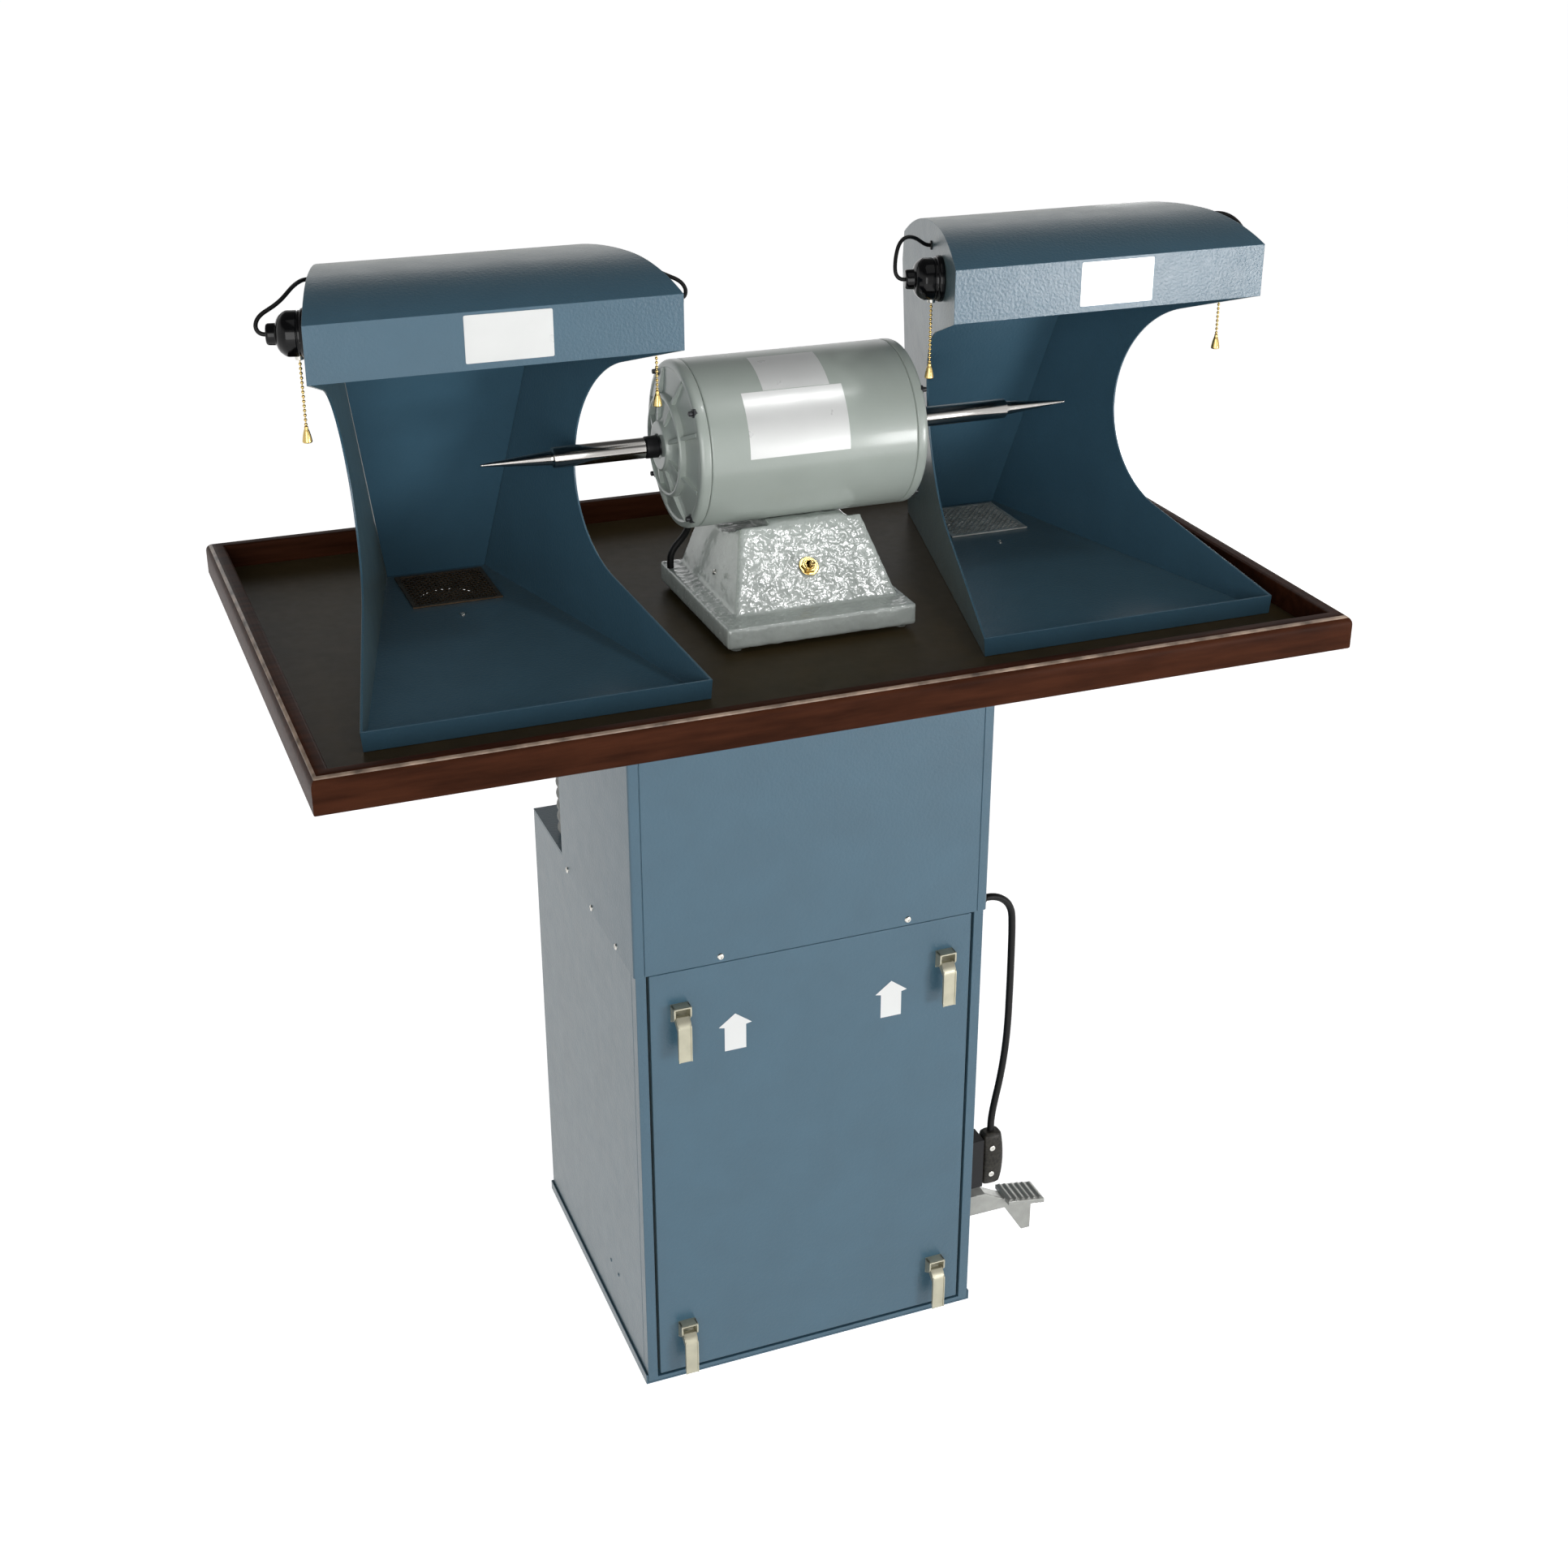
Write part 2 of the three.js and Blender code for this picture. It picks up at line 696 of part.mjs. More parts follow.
function columnRearPanel() {
  const half = columnInner - gap;
  const panel = block(-half, half, columnRear - sheet, columnRear, cabinetHeight + gap, columnTop);
  const slotHalf = scrollWidth / 2 - sheet * 2;
  const lowest = outletBottom + sheet * 2;
  const slots = Array.from({ length: Math.min(grilleSlotCount, slotsThatFit()) }, (_, i) => block(
    blowerX - slotHalf, blowerX + slotHalf, columnRear - sheet - overrun, columnRear + overrun,
    lowest + i * grilleSlotPitch, lowest + i * grilleSlotPitch + grilleSlotHeight,
  ));
  return slots.reduce((sum, slot) => sum.subtract(slot), panel);
}

function slotsThatFit() {
  return Math.floor((outletHeight - sheet * 4 - grilleSlotHeight) / grilleSlotPitch) + 1;
}

// Tray: a mitred rim round a recessed board
function trayRim() {
  return block(trayLeft, trayRight, trayFront, trayRear, boardBottom, trayTop).subtract(block(
    trayLeft + rimWidth, trayRight - rimWidth, trayFront + rimWidth, trayRear - rimWidth,
    boardBottom - overrun, trayTop + overrun,
  ));
}

function trayBoard() {
  const edge = rimWidth + gap;
  const board = block(
    trayLeft + edge, trayRight - edge, trayFront + edge, trayRear - edge, boardBottom, boardTop,
  );
  return [leftHoodX, rightHoodX].reduce((sum, x) => sum.subtract(
    rod(ductRadius, boardBottom - overrun, boardTop + overrun, plainSides, zAxis, [x, ductY, 0]),
  ), board);
}

// Half width of a hood at a place: a + b y + c z along the flaring sides, upright above the fascia's foot
const sideB = (floorHalfFront - floorHalfRear) / (hoodFront - hoodRear);
const sideA = floorHalfRear - sideB * hoodRear;
const sideC = sideFlare / fasciaBottom;
const uprightNormal = new THREE.Vector3(1, -sideB, 0).normalize();

function halfWidthAt(y, z) {
  return sideA + sideB * y + sideC * Math.min(z, fasciaBottom);
}

// All the space between two side planes at half widths of a + b y + c z, moved in by a distance
function betweenPlanes(a, c, moved) {
  const geometry = new THREE.BoxGeometry(1, 1, 1);
  const places = geometry.attributes.position;
  const shift = moved * Math.hypot(1, sideB, c);
  for (let i = 0; i < places.count; i += 1) {
    const y = places.getY(i) > 0 ? hoodRear + overrun : hoodFront - overrun;
    const z = places.getZ(i) > 0 ? crestHeight + overrun : -overrun;
    const x = Math.sign(places.getX(i)) * (a + sideB * y + c * z - shift);
    places.setXYZ(i, x, y, z);
  }
  return solid(geometry);
}

function wedge(moved) {
  return betweenPlanes(sideA, sideC, moved).intersect(betweenPlanes(sideA + sideFlare, 0, moved));
}

function archRadius(run, drop) {
  return (run * run + drop * drop) / (2 * drop);
}

// Side view of a hood: floor, leaning rear edge, two-arc roof, fascia and front
function hoodOutline() {
  const frontRadius = archRadius(crestY - fasciaY, crestHeight - fasciaTop);
  const rearRadius = archRadius(roofRearY - crestY, crestHeight - roofRearHeight);
  const rearStart = Math.asin(1 - (crestHeight - roofRearHeight) / rearRadius);
  const frontEnd = Math.PI - Math.asin(1 - (crestHeight - fasciaTop) / frontRadius);
  return [
    [hoodFront, 0],
    [hoodRear, 0],
    ...arc(crestY, crestHeight - rearRadius, rearRadius, rearStart, Math.PI / 2, domeSteps),
    ...arc(crestY, crestHeight - frontRadius, frontRadius, Math.PI / 2, frontEnd, domeSteps).slice(1),
    [fasciaY, fasciaBottom],
    [hoodFront, lipHeight],
  ];
}

// The open front between the lip and the fascia, with the round throat cut into both sides
function throatOutline() {
  const tangentAngle = ([y, z], side) => {
    const away = Math.hypot(y - throatY, z - throatHeight);
    return Math.atan2(z - throatHeight, y - throatY) + side * Math.acos(throatRadius / away);
  };
  const low = tangentAngle([hoodFront, lipHeight], 1);
  const high = tangentAngle([fasciaY, fasciaBottom], -1);
  return [
    [hoodFront - overrun, lipHeight],
    [hoodFront, lipHeight],
    ...arc(throatY, throatHeight, throatRadius, low, high, throatSteps),
    [fasciaY, fasciaBottom],
    [hoodFront - overrun, fasciaBottom],
  ];
}

// Baffle inside the rear of a hood, in side view, and the window that leaves its back open
function baffleOutline() {
  const thick = sheet * Math.hypot(1, baffleLean / crestHeight);
  return [
    [hoodRear - thick, 0], [hoodRear, 0],
    [hoodRear - baffleLean, crestHeight], [hoodRear - baffleLean - thick, crestHeight],
  ];
}

function rearWindow() {
  const top = roofRearHeight - rearWindowMargin;
  return [
    [hoodRear, 0], [hoodRear + overrun, 0], [hoodRear + overrun, top],
    [hoodRear - (baffleLean * top) / crestHeight, top],
  ];
}

function hoodShell() {
  const wide = floorHalfFront * 2;
  const outline = hoodOutline();
  const outer = prismX(outline, -wide, wide).intersect(wedge(0));
  const inner = prismX(inset(outline, sheet), -wide, wide).intersect(wedge(sheet));
  const hole = block(
    -floorHoleWidth / 2, floorHoleWidth / 2, ductY - floorHoleDepth / 2, ductY + floorHoleDepth / 2,
    -overrun, overrun,
  );
  const window = prismX(rearWindow(), -wide, wide).intersect(wedge(sheet));
  const baffle = prismX(baffleOutline(), -wide, wide).intersect(outer);
  const shell = outer.subtract(inner).subtract(window).add(baffle)
    .subtract(prismX(throatOutline(), -wide, wide)).subtract(hole);
  return [-1, 1].reduce((sum, side) => sum.subtract(
    rod(neckRadius + gap, -overrun, overrun, lampSides, lampAxis(side), lampPlace(side)),
  ), shell);
}

function hoodScreen() {
  const halfX = floorHoleWidth / 2 + screenBorder;
  const halfY = floorHoleDepth / 2 + screenBorder;
  const bottom = sheet + gap;
  const plate = block(-halfX, halfX, ductY - halfY, ductY + halfY, bottom, bottom + screenThickness);
  const cellX = (floorHoleWidth + screenWire) / screenColumns;
  const cellY = (floorHoleDepth + screenWire) / screenRows;
  let cut = plate;
  for (let i = 0; i < screenColumns; i += 1) {
    for (let k = 0; k < screenRows; k += 1) {
      const x = -floorHoleWidth / 2 + i * cellX;
      const y = ductY - floorHoleDepth / 2 + k * cellY;
      cut = cut.subtract(block(
        x, x + cellX - screenWire, y, y + cellY - screenWire, bottom - overrun, bottom + overrun,
      ));
    }
  }
  return cut;
}

// A lamp's place on a hood's side sheet, and the direction that it points out in
function lampPlace(side) {
  return [side * halfWidthAt(socketY, socketHeight), socketY, socketHeight];
}

function lampAxis(side) {
  return new THREE.Vector3(side * uprightNormal.x, uprightNormal.y, 0);
}

function chainTop(side) {
  const place = new THREE.Vector3(...lampPlace(side));
  return place.addScaledVector(lampAxis(side), chainStandoff);
}

function lampSocket(side) {
  const bodyStart = gap + collarThickness;
  const bodyEnd = bodyStart + bodyLength;
  const domeEnd = bodyEnd + domeLength;
  const innerEnd = -sheet - neckLength;
  const profile = [
    [0, innerEnd + socketBoreDepth], [socketBore, innerEnd + socketBoreDepth], [socketBore, innerEnd],
    [neckRadius, innerEnd], [neckRadius, gap], [collarRadius, gap], [collarRadius, bodyStart],
    [bodyRadius, bodyStart], [bodyRadius, bodyEnd], [domeRadius, domeEnd], [nubRadius, domeEnd],
    [nubRadius, domeEnd + nubLength], [0, domeEnd + nubLength],
  ];
  const chainHole = rod(
    chainRadius + gap, -collarRadius - overrun, -collarRadius + chainInside + gap, smallSides, zAxis,
    chainTop(side).toArray(),
  );
  return turned(profile, lampSides, lampAxis(side), lampPlace(side)).subtract(chainHole);
}

function lampBulb(side) {
  const innerEnd = -sheet - neckLength;
  const seat = innerEnd + socketBoreDepth - gap;
  const capRadius = socketBore - bulbCapClearance;
  const globeCentre = seat - bulbLength + bulbRadius;
  const globe = arc(0, globeCentre, bulbRadius, -Math.PI / 2, Math.PI / 4, domeSteps);
  const profile = [...globe, [capRadius, seat - bulbCapLength], [capRadius, seat], [0, seat]];
  profile[0] = [0, globeCentre - bulbRadius];
  return turned(profile, lampSides, lampAxis(side), lampPlace(side));
}

function lampLead(side, points) {
  const place = new THREE.Vector3(...lampPlace(side));
  const out = lampAxis(side);
  const back = new THREE.Vector3(0, 1, 0).addScaledVector(out, -out.y).normalize();
  const up = new THREE.Vector3().crossVectors(out, back).multiplyScalar(side);
  const route = points.map(([o, b, u]) => place.clone()
    .addScaledVector(out, o).addScaledVector(back, b).addScaledVector(up, u).toArray());
  return cord(route, leadDiameter, lampLeadSteps);
}

function pullChain(side) {
  const profile = [
    [0, -collarRadius - chainDrop - bellLength], [bellRadius, -collarRadius - chainDrop - bellLength],
    [chainRadius, -collarRadius - chainDrop], [chainRadius, -collarRadius + chainInside],
    [0, -collarRadius + chainInside],
  ];
  return turned(profile, smallSides, zAxis, chainTop(side).toArray());
}

// Motor, in a group with its shaft along X through the origin
function motorShell() {
  return ring(motorRadius, motorRadius - motorWall, -motorLength / 2, motorLength / 2, fineSides, xAxis);
}

function endBell(side) {
  const axis = new THREE.Vector3(side, 0, 0);
  const start = [(side * motorLength) / 2, 0, 0];
  const shaftHole = shaftRadius + airGap;
  const seat = bearingOuter + gap;
  const webOuter = bellDepth - bellRim;
  const profile = [
    [motorRadius, gap], [motorRadius, bellRim],
    [bellHubRadius, webOuter + bellWeb], [bellHubRadius, bellDepth], [shaftHole, bellDepth],
    [shaftHole, bearingSeatDepth + bellWeb], [seat, bearingSeatDepth + bellWeb],
    [seat, gap], [seat + bellWeb, gap], [seat + bellWeb, webOuter - bellWeb],
    [motorRadius - bellWeb, gap], [motorRadius, gap],
  ];
  const dish = turned(profile, fineSides, axis, start);
  const ringRib = ring(
    bellRingRadius + bellRingWidth, bellRingRadius, bellRim, bellDepth - bellRingWidth,
    fineSides, axis, start,
  );
  const ribs = Array.from({ length: bellRibCount }, (_, i) => {
    const ribStart = (side * (motorLength / 2 + bellRim - bellWeb / 2));
    const ribEnd = side * (motorLength / 2 + webOuter + bellWeb + sheet);
    const edges = [ribStart, ribEnd].sort((a, b) => a - b);
    const ribHeight = motorRadius - bellHubRadius - bellRim;
    const geometry = new THREE.BoxGeometry(edges[1] - edges[0], bellRibWidth, ribHeight);
    geometry.translate((edges[0] + edges[1]) / 2, 0, (motorRadius + bellHubRadius) / 2);
    geometry.rotateX(((i + 0.5) * 2 * Math.PI) / bellRibCount);
    return solid(geometry);
  });
  return joined(dish, ringRib, ...ribs);
}

function bearing(side) {
  const start = [(side * motorLength) / 2, 0, 0];
  const axis = new THREE.Vector3(side, 0, 0);
  const end = bearingSeatDepth + bellWeb - gap;
  return ring(bearingOuter, bearingInner, end - bearingWidth, end, plainSides, axis, start);
}

function stator() {
  const outer = motorRadius - motorWall - gap;
  return ring(outer, statorInner, -statorLength / 2, statorLength / 2, fineSides, xAxis);
}

const shaftFace = motorLength / 2 + bellDepth + gap;

function rotorShaft() {
  const shaftEnd = shaftFace + collarLength + spindleBoreDepth - gap;
  const core = rod(statorInner - airGap, -statorLength / 2, statorLength / 2, fineSides, xAxis);
  const shaft = rod(shaftRadius, -shaftEnd, shaftEnd, plainSides, xAxis);
  const collars = [-1, 1].map((side) => rod(
    collarOuter, shaftFace, shaftFace + collarLength, plainSides, new THREE.Vector3(side, 0, 0),
  ));
  return joined(core, shaft, ...collars);
}

function spindle(side) {
  const start = [side * (shaftFace + collarLength + gap), 0, 0];
  const profile = [
    [0, spindleBoreDepth], [shaftRadius + gap, spindleBoreDepth], [shaftRadius + gap, 0], [spindleRadius, 0],
    [spindleRadius, spindleLength], [taperRadius, spindleLength + shoulderLength],
    [tipRadius, spindleLength + taperLength], [0, spindleLength + taperLength],
  ];
  return turned(profile, plainSides, new THREE.Vector3(side, 0, 0), start);
}

// Pedestal: a hollow cast tower on a flange, with a saddle for the motor and four low pads
function pedestal() {
  const flange = block(pedestalLeft, pedestalRight, pedestalFront, pedestalRear, flangeBottom, flangeTop);
  const padXs = [pedestalLeft + padInset, pedestalRight - padInset];
  const padYs = [pedestalFront + padInset, pedestalRear - padInset];
  const pads = padXs.flatMap((x) => padYs.map(
    (y) => rod(padRadius, pedestalBase, flangeBottom + padHeight, smallSides, zAxis, [x, y, 0]),
  ));
  const footZ = flangeTop - padHeight;
  const tower = tapered(towerFoot, footZ, towerHead, headZ);
  const thinnedAt = (z) => {
    const share = (z - footZ) / (headZ - footZ);
    const [x0, x1, y0, y1] = towerFoot.map((edge, i) => edge + (towerHead[i] - edge) * share);
    return [x0 + castWall, x1 - castWall, y0 + castWall, y1 - castWall];
  };
  const hollowTop = headZ - castWall * 2;
  const hollow = joined(
    tapered(thinnedAt(footZ - overrun), footZ - overrun, thinnedAt(hollowTop), hollowTop),
    block(...thinnedAt(footZ), flangeBottom - overrun, footZ),
  );
  const motorStart = [0, motorY, axisZ];
  const saddle = rod(motorRadius + gap, -pedestalWidth, pedestalWidth, fineSides, xAxis, motorStart);
  const reliefs = [[-pedestalWidth, saddleLeft], [saddleRight, pedestalWidth]].map(([from, to]) => rod(
    motorRadius + saddleRelief, from, to, fineSides, xAxis, motorStart,
  ));
  const bushHole = rod(
    switchBushRadius + gap, -castWall * 3, castWall * 3, smallSides, switchAxis(), switchPlace().toArray(),
  );
  return [saddle, ...reliefs, bushHole].reduce(
    (sum, tool) => sum.subtract(tool), joined(flange, ...pads, tower).subtract(hollow),
  );
}

// The toggle switch sits square to the pedestal's sloping front face
function switchPlace() {
  const y = towerFoot[2] + towerLeanFront * switchRiseShare;
  return new THREE.Vector3(switchX, y, flangeTop + towerHeight * switchRiseShare);
}

function switchAxis() {
  return new THREE.Vector3(0, -towerHeight, towerLeanFront).normalize();
}

function switchBody() {
  const place = switchPlace().toArray();
  const axis = switchAxis();
  const bushEnd = switchNutLength + gap;
  const bodyTop = -castWall - gap;
  const profile = [
    [0, bodyTop - sheet / 2], [switchBushRadius, bodyTop - sheet / 2], [switchBushRadius, gap],
    [switchNutRadius, gap], [switchNutRadius, bushEnd], [toggleBallRadius + gap * 3, bushEnd],
    [toggleBallRadius + gap, -toggleBallRadius], [toggleBallRadius + gap, -toggleBallRadius * 2 - gap],
    [0, -toggleBallRadius * 2 - gap],
  ];
  const bush = turned(profile, smallSides, axis, place);
  const geometry = new THREE.BoxGeometry(switchBodyWidth, switchBodyDepth, switchBodyHeight);
  geometry.translate(0, bodyTop - switchBodyDepth / 2, 0);
  geometry.applyQuaternion(new THREE.Quaternion().setFromUnitVectors(yAxis, axis)).translate(...place);
  return joined(bush, solid(geometry));
}

function toggleLever() {
  const profile = [
    ...arc(0, 0, toggleBallRadius, -Math.PI / 2, Math.PI / 4, ballSteps),
    [toggleRadius, toggleBallRadius], [toggleTipRadius, toggleLength], [0, toggleLength],
  ];
  profile[0] = [0, -toggleBallRadius];
  const ball = switchPlace().addScaledVector(switchAxis(), -toggleBallRadius);
  const lean = switchAxis().applyAxisAngle(xAxis, Math.PI * toggleLeanShare);
  return turned(profile, smallSides, lean, ball.toArray());
}

// Ribbed hose with its bore, in two equal bends between straight ends
function hosePath(fromX, toX) {
  const top = boardBottom - gap;
  const bottom = cabinetHeight + gap;
  const bendTop = top - hoseStraight;
  const bendBottom = bottom + hoseStraight;
  const across = toX - fromX;
  const fall = bendTop - bendBottom;
  const sweep = 2 * Math.atan(Math.abs(across) / fall);
  const radius = fall / (2 * Math.sin(sweep));
  const length = 2 * hoseStraight + 2 * radius * sweep;
  const place = (distance) => {
    const along = distance * length;
    const bend = radius * sweep;
    const side = Math.sign(across);
    if (along <= hoseStraight) return [fromX, top - along, 0];
    if (along <= hoseStraight + bend) {
      const angle = (along - hoseStraight) / radius;
      const moved = side * radius * (1 - Math.cos(angle));
      return [fromX + moved, bendTop - radius * Math.sin(angle), side * angle];
    }
    if (along <= hoseStraight + 2 * bend) {
      const angle = (hoseStraight + 2 * bend - along) / radius;
      const moved = side * radius * (1 - Math.cos(angle));
      return [toX - moved, bendBottom + radius * Math.sin(angle), side * angle];
    }
    return [toX, bottom + (length - along), 0];
  };
  return place;
}

function hose(fromX, toX) {
  const place = hosePath(fromX, toX);
  const points = [];
  const faces = [];
  const addRing = (distance, radius) => {
    const [x, z, lean] = place(distance);
    for (let k = 0; k < hoseSides; k += 1) {
      const angle = (2 * Math.PI * k) / hoseSides;
      const sideways = radius * Math.cos(angle);
      const depth = radius * Math.sin(angle);
      points.push(x + sideways * Math.cos(lean), ductY + depth, z + sideways * Math.sin(lean));
    }
  };
  const joinRings = (a, b) => {
    for (let k = 0; k < hoseSides; k += 1) {
      const next = (k + 1) % hoseSides;
      faces.push(a + k, b + k, b + next, a + k, b + next, a + next);
    }
  };
  const ribRings = hoseRibs * 2;
  const valley = hoseRadius - hoseRibDepth;
  for (let i = 0; i <= ribRings; i += 1) addRing(i / ribRings, i % 2 ? hoseRadius : valley);
  const boreRings = Math.ceil(hoseRibs / ribsPerBoreRing) * 2;
  for (let i = 0; i <= boreRings; i += 1) addRing(1 - i / boreRings, valley - sheet);
  const ringCount = ribRings + boreRings + 2;
  for (let i = 0; i < ringCount; i += 1) joinRings(i * hoseSides, ((i + 1) % ringCount) * hoseSides);
  const geometry = new THREE.BufferGeometry();
  geometry.setAttribute("position", new THREE.Float32BufferAttribute(points, 3));
  geometry.setIndex(faces);
  return solid(geometry);
}

// Blower: a scroll housing with its outlet at the rear grille, an impeller and a motor beside it
function scrollOutline(moved) {
  const radius = scrollRadius - moved;
  const outletTop = scrollCentreZ + radius;
  const outletFoot = outletBottom + moved;
  const outletEnd = columnRear - sheet - gap + (moved > 0 ? overrun : 0);
  const foot = cabinetHeight + gap + moved;
  const start = Math.asin((outletFoot - scrollCentreZ) / radius);
  const rim = arc(blowerY, scrollCentreZ, radius, start, -1.5 * Math.PI, scrollSteps);
  const base = moved > 0 ? [] : [[blowerY + radius / 2, foot], [blowerY - radius / 2, foot]];
  const lowLimit = scrollCentreZ - radius * scrollFootShare;
  const highLimit = scrollCentreZ - radius * scrollHeelShare;
  const lower = rim.findIndex(([y, z]) => z < lowLimit && y < blowerY + radius / 2);
  const upper = rim.findIndex(([y, z]) => y < blowerY - radius / 2 && z > highLimit);
  const path = base.length ? [...rim.slice(0, lower), ...base, ...rim.slice(upper)] : rim;
  return [[outletEnd, outletFoot], ...path, [outletEnd, outletTop]];
}

function blowerHousing() {
  const half = scrollWidth / 2;
  const outer = prismX(scrollOutline(0), blowerX - half, blowerX + half);
  const inner = prismX(scrollOutline(sheet), blowerX - half + sheet, blowerX + half - sheet);
  const centre = [blowerX, blowerY, scrollCentreZ];
  const eye = rod(blowerEyeRadius, -half - overrun, -half + overrun, plainSides, xAxis, centre);
  const shaftHole = rod(
    blowerShaftRadius + airGap, half - overrun, half + overrun, smallSides, xAxis, centre,
  );
  return outer.subtract(inner).subtract(eye).subtract(shaftHole);
}

function impeller() {
  const centre = [blowerX, blowerY, scrollCentreZ];
  const back = impellerWidth / 2;
  const plate = rod(impellerRadius, back - impellerPlate, back, plainSides, xAxis, centre);
  const front = ring(
    impellerRadius, impellerRadius - bladeDepth, -back, -back + impellerPlate, plainSides, xAxis, centre,
  );
  const shaftEnd = scrollWidth / 2 + gap + blowerMotorLength / 2;
  const shaft = rod(blowerShaftRadius, -impellerPlate, shaftEnd, smallSides, xAxis, centre);
  const blades = Array.from({ length: bladeCount }, (_, i) => {
    const geometry = new THREE.BoxGeometry(
      impellerWidth - impellerPlate, bladeThickness, bladeDepth - impellerPlate,
    );
    geometry.translate(0, 0, impellerRadius - bladeDepth / 2);
    geometry.rotateX((2 * Math.PI * i) / bladeCount).translate(...centre);
    return solid(geometry);
  });
  const disc = rod(impellerRadius - bladeDepth / 2, -impellerPlate, 0, plainSides, xAxis, centre);
  const hub = rod(blowerShaftRadius * 2, 0, back, smallSides, xAxis, centre);
  return joined(plate, front, ...blades, disc.intersect(hub), hub, shaft);
}

function blowerMotor() {
  const start = scrollWidth / 2 + gap;
  const end = start + blowerMotorLength;
  const centre = [blowerX, blowerY, scrollCentreZ];
  const body = rod(blowerMotorRadius, start, end, plainSides, xAxis, centre);
  const boreEnd = start + blowerMotorLength / 2 + gap;
  const bore = rod(blowerShaftRadius + airGap, start - overrun, boreEnd, smallSides, xAxis, centre);
  const legHalf = blowerMotorRadius / 2;
  const leg = block(
    blowerX + start + overrun, blowerX + end - overrun, blowerY - legHalf, blowerY + legHalf,
    cabinetHeight + gap, scrollCentreZ - blowerMotorRadius / 2,
  );
  return joined(body, leg).subtract(bore);
}

// Bag rack that rests on the rails, with its lift rod and two hanging bags
function bagRack() {
  const half = halfWidth - sheet - gap;
  const bottom = railZ + gap;
  const plate = block(-half, half, rackFront, rackRear, bottom, bottom + rackThickness);
  const [mouthX, mouthY] = [(bagWidth * bagMouthShare) / 2, (bagDepth * bagMouthShare) / 2];
  const mouths = [-bagX, bagX].map((x) => block(
    x - mouthX, x + mouthX, bagY - mouthY, bagY + mouthY, bottom - overrun, bottom + overrun,
  ));
  const liftRod = rod(
    liftRodRadius, liftRodBottom, bottom + rackThickness / 2, smallSides, zAxis, [liftRodX, liftRodY, 0],
  );
  return joined(mouths.reduce((sum, mouth) => sum.subtract(mouth), plate), liftRod);
}

function filterBag(x) {
  const top = railZ - sheet;
  const head = [x - bagWidth / 2, x + bagWidth / 2, bagY - bagDepth / 2, bagY + bagDepth / 2];
  const [footX, footY] = [(bagWidth * bagTaperShare) / 2, (bagDepth * bagTaperShare) / 2];
  return tapered([x - footX, x + footX, bagY - footY, bagY + footY], top - bagLength, head, railZ);
}

// Foot pedal: a lever through the right wall, ribbed pad outside, lift end under the rod inside
function pedalLever() {
  const tail = liftRodX - pedalArm;
  const top = pedalPivotZ + pedalThickness / 2;
  const bottom = pedalPivotZ - pedalThickness / 2;
  const tip = pedalPadStart + pedalPadLength;
  const slope = pedalPadFall / pedalPadLength;
  const padTopAt = (x) => pedalPivotZ + pedalPadRise - (x - pedalPadStart) * slope;
  const heelBottom = pedalPivotZ - pedalHeelDrop;
  const heelRight = tip - pedalHeelInset;
  const heelLeft = heelRight - pedalHeelWidth;
  const side = [
    [tail, bottom], [pedalPadStart, bottom], [heelLeft, heelBottom], [heelRight, heelBottom],
    [heelRight, padTopAt(heelRight) - pedalPadThickness / 2],
    [pedalPadStart, padTopAt(pedalPadStart) - pedalPadThickness / 2],
    [pedalPadStart - pedalThickness, top], [liftRodX + pedalArm, top],
    [liftRodX + pedalArm / 2, liftRodBottom - gap], [tail, liftRodBottom - gap],
  ];
  const half = pedalWidth / 2;
  const arm = prismY(side, cordY - half, cordY + half);
  const padHalf = pedalPadWidth / 2;
  const padSide = [
    [pedalPadStart, padTopAt(pedalPadStart) - pedalPadThickness], [tip, padTopAt(tip) - pedalPadThickness],
    [tip, padTopAt(tip)], [pedalPadStart, padTopAt(pedalPadStart)],
  ];
  const pad = prismY(padSide, cordY - padHalf, cordY + padHalf);
  const pitch = pedalPadLength / pedalPadRibs;
  const ribs = Array.from({ length: pedalPadRibs }, (_, i) => {
    const from = pedalPadStart + i * pitch + pitch / 4;
    const to = from + pitch / 2;
    const ribSide = [
      [from, padTopAt(from) - pedalRibHeight], [to, padTopAt(to) - pedalRibHeight],
      [to, padTopAt(to) + pedalRibHeight], [from, padTopAt(from) + pedalRibHeight],
    ];
    return prismY(ribSide, cordY - padHalf + sheet, cordY + padHalf - sheet);
  });
  const pivot = [pedalPivotX, cordY, pedalPivotZ];
  const pinHole = rod(pedalPin + gap, -pedalWidth, pedalWidth, smallSides, yAxis, pivot);
  return joined(arm, pad, ...ribs).subtract(pinHole);
}

function pedalBracket() {
  const inner = pedalWidth / 2 + gap;
  const outer = inner + cheekThickness;
  const half = pedalArm;
  const cheeks = [[-outer, -inner], [inner, outer]].map(([from, to]) => block(
    pedalPivotX - half, pedalPivotX + half, cordY + from, cordY + to, panTop, pedalPivotZ + half,
  ));
  const footTop = panTop + cheekThickness;
  const foot = block(pedalPivotX - half, pedalPivotX + half, cordY - outer, cordY + outer, panTop, footTop);
  const pin = rod(pedalPin, -outer, outer, smallSides, yAxis, [pedalPivotX, cordY, pedalPivotZ]);
  return joined(foot, ...cheeks, pin);
}

// Mains cord: gland in the cabinet wall, right-angle plug, and the outlet on the wall
function cordGland() {
  const profile = [
    [0, -sheet - glandNeck], [glandNeck, -sheet - glandNeck], [glandNeck, gap], [glandRadius, gap],
    [glandRadius, gap * 2 + sheet], [glandTipRadius, glandLength], [0, glandLength],
  ];
  return turned(profile, smallSides, xAxis, [halfWidth, cordY, glandZ]);
}

